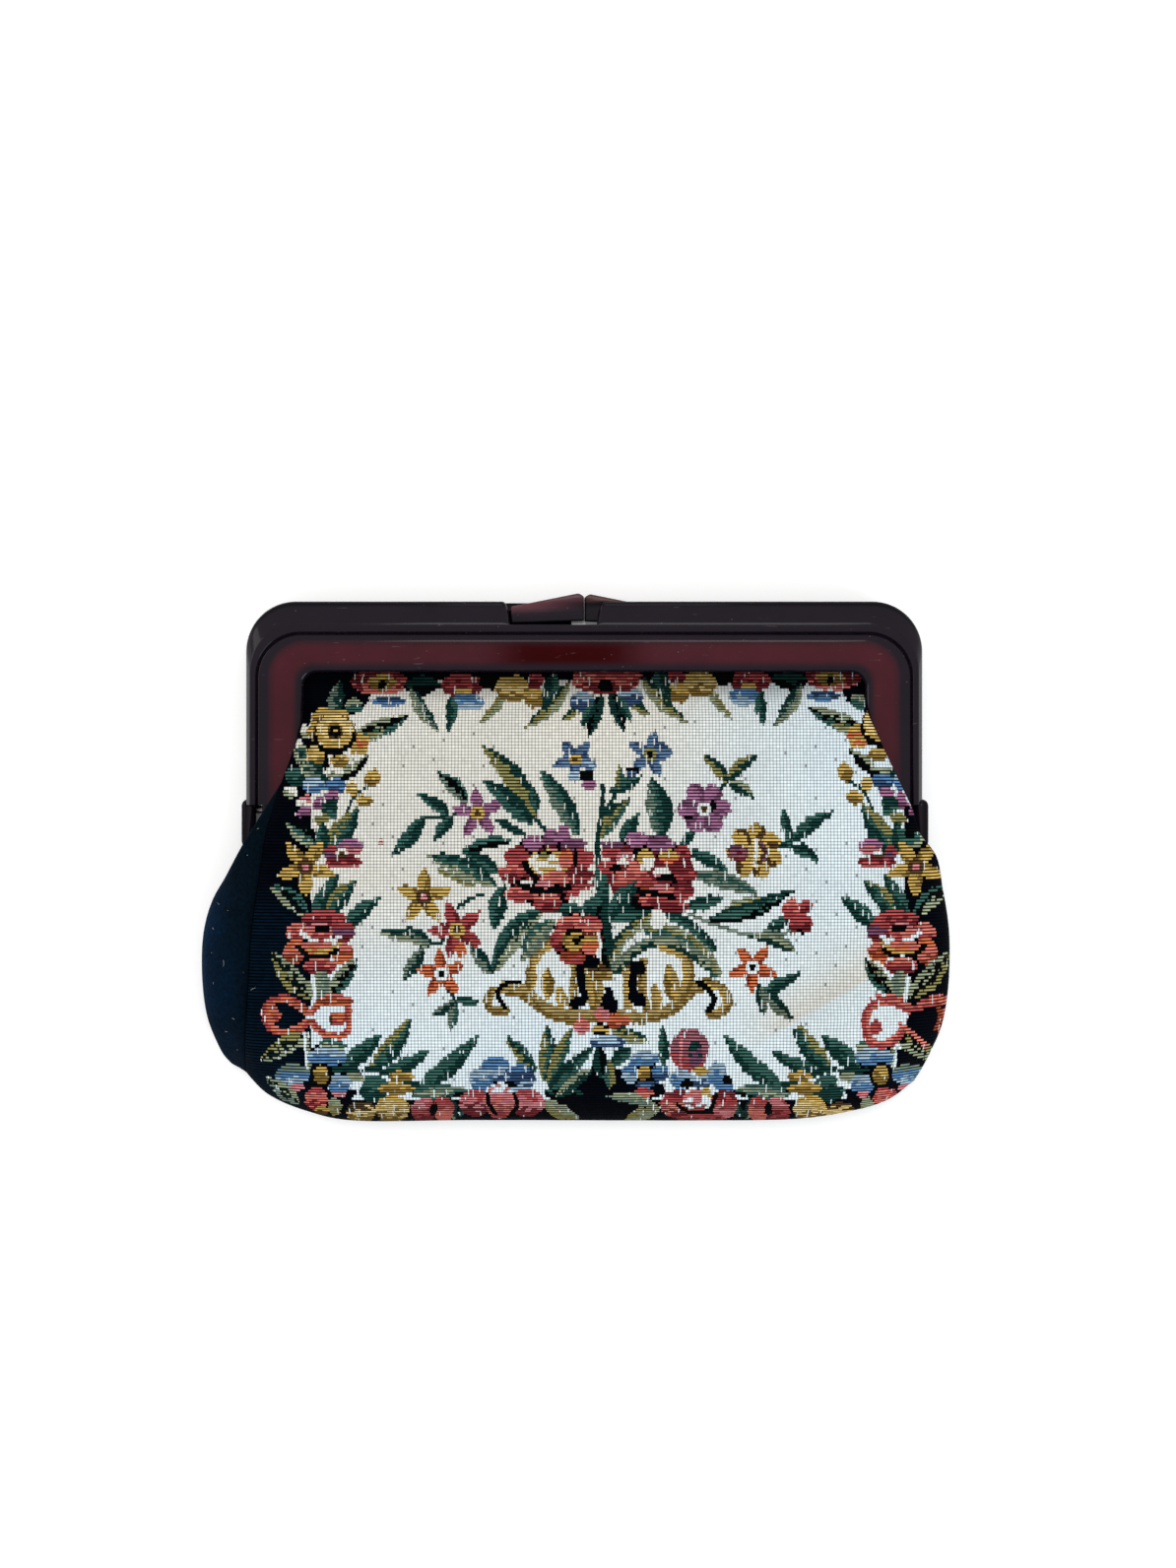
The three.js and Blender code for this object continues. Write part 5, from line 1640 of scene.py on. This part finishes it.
# Materials
class Shading:
    """Short ways to add and join the nodes of one tree."""

    def __init__(self, tree):
        self.tree = tree

    def feed(self, socket, value):
        if isinstance(value, bpy.types.NodeSocket):
            self.tree.links.new(value, socket)
        else:
            socket.default_value = value

    def add(self, kind, settings=None, **inputs):
        node = self.tree.nodes.new(kind)
        for name, value in (settings or {}).items():
            setattr(node, name, value)
        for name, value in inputs.items():
            self.feed(node.inputs[name.replace("_", " ")], value)
        return node

    def math(self, operation, first, second=0.0):
        node = self.tree.nodes.new("ShaderNodeMath")
        node.operation = operation
        self.feed(node.inputs[0], first)
        self.feed(node.inputs[1], second)
        return node.outputs[0]

    def spread(self, value, low, high, to_low, to_high):
        node = self.tree.nodes.new("ShaderNodeMapRange")
        for socket, given in zip(node.inputs, (value, low, high, to_low, to_high)):
            self.feed(socket, given)
        return node.outputs[0]

    def mix(self, share, first, second, way="MIX"):
        node = self.tree.nodes.new("ShaderNodeMix")
        node.data_type = "RGBA"
        node.blend_type = way
        self.feed(node.inputs[0], share)
        self.feed(node.inputs[6], first)
        self.feed(node.inputs[7], second)
        return node.outputs[2]

    def times(self, first, second):
        return self.math("MULTIPLY", first, second)

    def tinted(self, colour, tint):
        return self.mix(1.0, colour, tint, "MULTIPLY")

    def between(self, share, tones):
        """A colour between two screen tones."""
        return self.mix(share, *(opaque(tone) for tone in tones))

    def place(self):
        return self.add("ShaderNodeTexCoord").outputs["Object"]

    def group(self, tree, **inputs):
        return self.add("ShaderNodeGroup", {"node_tree": tree}, **inputs).outputs[0]

    def bump(self, height, strength, distance):
        """A normal that follows a height, over a distance in millimetres."""
        return self.add("ShaderNodeBump", Strength=strength, Distance=distance * MM, Height=height).outputs[0]


def new_group(name, inputs, output):
    """An empty node group with a vector input, the given values and one value out."""
    tree = bpy.data.node_groups.new(name, "ShaderNodeTree")
    tree.interface.new_socket("Place", in_out="INPUT", socket_type="NodeSocketVector")
    for label in inputs:
        tree.interface.new_socket(label, in_out="INPUT", socket_type="NodeSocketFloat")
    tree.interface.new_socket(output, in_out="OUTPUT", socket_type="NodeSocketFloat")
    shading = Shading(tree)
    return shading, shading.add("NodeGroupInput").outputs, shading.add("NodeGroupOutput").inputs


def soft_mottle_group():
    """Slow uneven value between two limits."""
    shading, given, out = new_group("soft_mottle", ["Scale", "Low", "High"], "Value")
    noise = shading.add("ShaderNodeTexNoise", Vector=given["Place"], Scale=given["Scale"],
                        Detail=4.0, Roughness=0.6)
    shading.feed(out["Value"], shading.spread(noise.outputs[0], *MOTTLE_SPAN, given["Low"], given["High"]))
    return shading.tree


def dust_group():
    """Small scattered specks: 1 on a speck."""
    shading, given, out = new_group("dust_specks", ["Scale", "Cover"], "Mask")
    cells = shading.add("ShaderNodeTexVoronoi", Vector=given["Place"], Scale=given["Scale"])
    few = shading.add("ShaderNodeTexWhiteNoise", Vector=cells.outputs["Position"])
    near = shading.spread(cells.outputs["Distance"], *DUST_EDGE, 1.0, 0.0)
    chosen = shading.math("LESS_THAN", few.outputs["Value"], given["Cover"])
    shading.feed(out["Mask"], shading.times(near, chosen))
    return shading.tree


def scratch_group():
    """Fine long scratches along X: 1 on a scratch."""
    shading, given, out = new_group("fine_scratches", ["Scale", "Cover"], "Mask")
    drawn = shading.add("ShaderNodeMapping", Vector=given["Place"], Scale=SCRATCH_STRETCH,
                        Rotation=SCRATCH_TURN)
    noise = shading.add("ShaderNodeTexNoise", Vector=drawn.outputs[0], Scale=given["Scale"], Detail=2.0)
    low = shading.math("SUBTRACT", SCRATCH_LEVEL, given["Cover"])
    high = shading.math("ADD", low, SCRATCH_EDGE)
    shading.feed(out["Mask"], shading.spread(noise.outputs[0], low, high, 0.0, 1.0))
    return shading.tree


def opaque(screen):
    return (*linear(screen), 1.0)


def new_material(name, **constants):
    """A new material, its tree and the inputs of its surface, with the given constants set."""
    material = bpy.data.materials.new(name)
    material.use_nodes = True
    surface = material.node_tree.nodes["Principled BSDF"].inputs
    for label, value in constants.items():
        surface[label.replace("_", " ")].default_value = value
    return material, Shading(material.node_tree), surface


def wine_plastic(mottle, dust, scratches):
    """Dark wine plastic, nearly black where thick, with fine scratches and a little dust."""
    material, shading, surface = new_material("wine_plastic", Specular_IOR_Level=0.02, Coat_Roughness=0.08)
    place = shading.place()
    stored = shading.add("ShaderNodeVertexColor", {"layer_name": "plastic_tone"}).outputs
    cloud = shading.group(mottle, Place=place, Scale=55.0, Low=0.82, High=1.2)
    specks = shading.group(dust, Place=place, Scale=900.0, Cover=0.03)
    worn = shading.group(scratches, Place=place, Scale=900.0, Cover=0.03)
    tone = shading.tinted(stored["Color"], cloud)
    tone = shading.mix(shading.times(specks, PLASTIC_DUST), tone, opaque(PLASTIC_DUST_TONE))
    tone = shading.mix(shading.times(worn, PLASTIC_SCRATCH), tone, opaque(PLASTIC_SCRATCH_TONE))
    shading.feed(surface["Base Color"], tone)
    rough = shading.group(mottle, Place=place, Scale=130.0, Low=0.14, High=0.2)
    rough = shading.math("ADD", rough, shading.times(worn, SCRATCH_ROUGHNESS))
    shading.feed(surface["Roughness"], rough)
    shading.feed(surface["Coat Weight"], shading.times(stored["Alpha"], PLASTIC_COAT))
    uneven = shading.group(mottle, Place=place, Scale=160.0, Low=0.0, High=1.0)
    shading.feed(surface["Normal"], shading.bump(uneven, strength=0.12, distance=0.3))
    return material


def pin_steel(mottle, scratches):
    """Plain drawn steel of the hinge pins."""
    material, shading, surface = new_material("pin_steel", Metallic=1.0)
    place = shading.place()
    worn = shading.group(scratches, Place=place, Scale=700.0, Cover=0.12)
    shading.feed(surface["Base Color"], shading.between(worn, STEEL_TONES))
    rough = shading.group(mottle, Place=place, Scale=500.0, Low=0.24, High=0.42)
    shading.feed(surface["Roughness"], rough)
    return material


def navy_pile(mottle, dust):
    """Navy velvet with a worn, uneven nap, and painted sheen that turns it blue away from the seam."""
    material, shading, surface = new_material(
        "navy_pile", Roughness=0.95, Specular_IOR_Level=0.03, Sheen_Weight=0.04, Sheen_Roughness=0.35,
        Sheen_Tint=opaque(NAP_SHEEN))
    place = shading.place()
    nap = shading.group(mottle, Place=place, Scale=45.0, Low=0.0, High=1.0)
    fine = shading.group(mottle, Place=place, Scale=900.0, Low=0.55, High=1.45)
    parts = shading.add("ShaderNodeSeparateXYZ", Vector=place).outputs
    # Painted sheen: blue grows away from the seam, mottled by the uneven nap
    from_seam = shading.math("SUBTRACT", parts[0], shading.times(parts[1], SEAM_LEAN))
    painted_sheen = shading.spread(from_seam, PAINTED_SHEEN_TURN[0] * MM, PAINTED_SHEEN_TURN[1] * MM, 0.0, 1.0)
    tone = shading.tinted(shading.between(shading.times(nap, painted_sheen), NAP_AND_PAINTED_SHEEN_TONES), fine)
    specks = shading.group(dust, Place=place, Scale=500.0, Cover=0.02)
    tone = shading.mix(shading.times(specks, VELVET_DUST), tone, opaque(VELVET_DUST_TONE))
    shading.feed(surface["Base Color"], tone)
    shading.feed(surface["Normal"], shading.bump(fine, strength=0.5, distance=0.4))
    return material


def wool_weave(mottle):
    """Woven wool: ribbed weft in the motifs, an open linen grid on the cream ground, with painted shade
    between the threads and painted light on the rib crests.
    """
    material, shading, surface = new_material("wool_weave", Roughness=0.9, Specular_IOR_Level=0.02)
    cell = shading.add("ShaderNodeUVMap", {"uv_map": "weave_cells"}).outputs[0]
    counts = shading.add("ShaderNodeSeparateXYZ", Vector=cell).outputs
    tone, motif = thread_tone(shading, counts[0])
    across, up = (thread_round(shading, counts[axis]) for axis in (0, 1))
    # Painted shade between the weft ribs and painted light on their crests, and painted shade along the gaps
    # of the cream ground and at their crossings
    ribs = shading.spread(up, *RIB_RISE, *RIB_PAINTED_SHADE_AND_LIGHT)
    gaps = [shading.spread(crest, 0.0, THREAD_GAP, 1.0, 0.0) for crest in (across, up)]
    lines = shading.times(shading.math("MAXIMUM", *gaps), LINE_PAINTED_SHADE)
    crossings = shading.times(shading.times(*gaps), CROSSING_PAINTED_SHADE)
    ground = shading.math("SUBTRACT", GROUND_LIGHT, shading.math("ADD", lines, crossings))
    ground = shading.times(ground, shading.math("SUBTRACT", 1.0, motif))
    shade = shading.math("ADD", shading.times(ribs, motif), ground)
    place = shading.place()
    soil = shading.group(mottle, Place=place, Scale=28.0, Low=0.95, High=1.04)
    warmth = shading.group(mottle, Place=place, Scale=17.0, Low=0.0, High=1.0)
    tone = shading.tinted(tone, shading.mix(warmth, COOL_SOIL, WARM_SOIL))
    shading.feed(surface["Base Color"], shading.tinted(tone, shading.times(shade, soil)))
    height = shading.math("ADD", up, shading.times(across, WARP_HEIGHT))
    shading.feed(surface["Normal"], shading.bump(height, strength=0.6, distance=0.3))
    return material


def thread_tone(shading, count):
    """Tone of the thread at a place in its cell, and 1 where it is a motif."""
    within = shading.math("FRACT", count)
    tone = motif = None
    for number, thread in enumerate(THREADS):
        stored = shading.add("ShaderNodeVertexColor", {"layer_name": "thread_" + thread})
        if tone is None:
            tone, motif = stored.outputs["Color"], stored.outputs["Alpha"]
            continue
        reached = shading.math("GREATER_THAN", within, number / len(THREADS))
        tone = shading.mix(reached, tone, stored.outputs["Color"])
        motif = shading.spread(reached, 0.0, 1.0, motif, stored.outputs["Alpha"])
    return tone, motif


def thread_round(shading, count):
    """0 between two threads and 1 on the crest of one, from the number of threads counted."""
    return shading.math("SINE", shading.times(shading.math("FRACT", count), math.pi))


def pale_lint():
    material, shading, surface = new_material("pale_lint", Roughness=0.9)
    noise = shading.add("ShaderNodeTexNoise", Vector=shading.place(), Scale=300.0)
    shading.feed(surface["Base Color"], shading.between(noise.outputs[0], LINT_TONES))
    return material


def floor_white():
    material, _, _ = new_material(
        "floor_white", Base_Color=FLOOR_TONE, Roughness=1.0, Specular_IOR_Level=0.0, Emission_Color=WHITE,
        Emission_Strength=FLOOR_GLOW)
    return material


def dress(piece, material):
    piece.data.materials.clear()
    piece.data.materials.append(material)


# Floor, camera and light
def floor():
    ways = ((-1, -1), (1, -1), (1, 1), (-1, 1))
    corners = [(across * FLOOR_HALF, along * FLOOR_HALF, FLOOR_Z) for across, along in ways]
    piece = link_mesh("floor", corners, [(0, 1, 2, 3)])
    dress(piece, floor_white())


def photo_camera():
    data = bpy.data.cameras.new("photo_camera")
    data.sensor_width = CAMERA_SENSOR
    data.lens = CAMERA_SENSOR * CAMERA_DISTANCE / (PHOTO_HIGH * PIXEL)
    data.clip_start = CAMERA_NEAR * MM
    camera = link_object("photo_camera", data)
    camera.location = (CAMERA_X * MM, CAMERA_Y * MM, (PIXEL_Z + CAMERA_DISTANCE) * MM)
    bpy.context.scene.camera = camera


def area_light(name, place, size, power, tint):
    """A square light that is turned to the bag."""
    data = bpy.data.lights.new(name, "AREA")
    data.size = size
    data.energy = power
    data.color = tint
    light = link_object(name, data)
    light.location = place
    track = light.constraints.new("TRACK_TO")
    track.target = link_object(name + "_aim", None)
    track.track_axis = "TRACK_NEGATIVE_Z"
    track.up_axis = "UP_Y"


def studio_light():
    world = bpy.data.worlds.new("studio")
    bpy.context.scene.world = world
    world.use_nodes = True
    sky = world.node_tree.nodes["Background"].inputs
    sky["Color"].default_value = WHITE
    sky["Strength"].default_value = SKY_STRENGTH
    for light in LIGHTS:
        area_light(*light)
    bpy.context.scene.view_settings.view_transform = "Standard"


# Whole scene
def settle(piece, slot, material, *nodes):
    """Dresses a piece, and puts it in the place of the nodes that it stands for."""
    dress(piece, material)
    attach(piece, "root")
    if nodes:
        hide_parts(*nodes)


def build():
    mottle, dust, scratches = soft_mottle_group(), dust_group(), scratch_group()
    plastic = wine_plastic(mottle, dust, scratches)
    front, back = frame_halves()
    settle(front, "frame_plastic", plastic, "frame_front")
    settle(back, "frame_plastic", plastic, "frame_back")
    woven = tapestry()
    settle(woven, "tapestry_cloth", wool_weave(mottle), "tapestry_panel")
    navy = velvet()
    settle(navy, "velvet_cloth", navy_pile(mottle, dust), "velvet_panel")
    lint = velvet_lint()
    settle(lint, "velvet_cloth", pale_lint())
    steel = pin_steel(mottle, scratches)
    for pin in ("hinge_pin_left", "hinge_pin_right"):
        dress(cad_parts[pin], steel)
    floor()
    photo_camera()
    studio_light()


build()
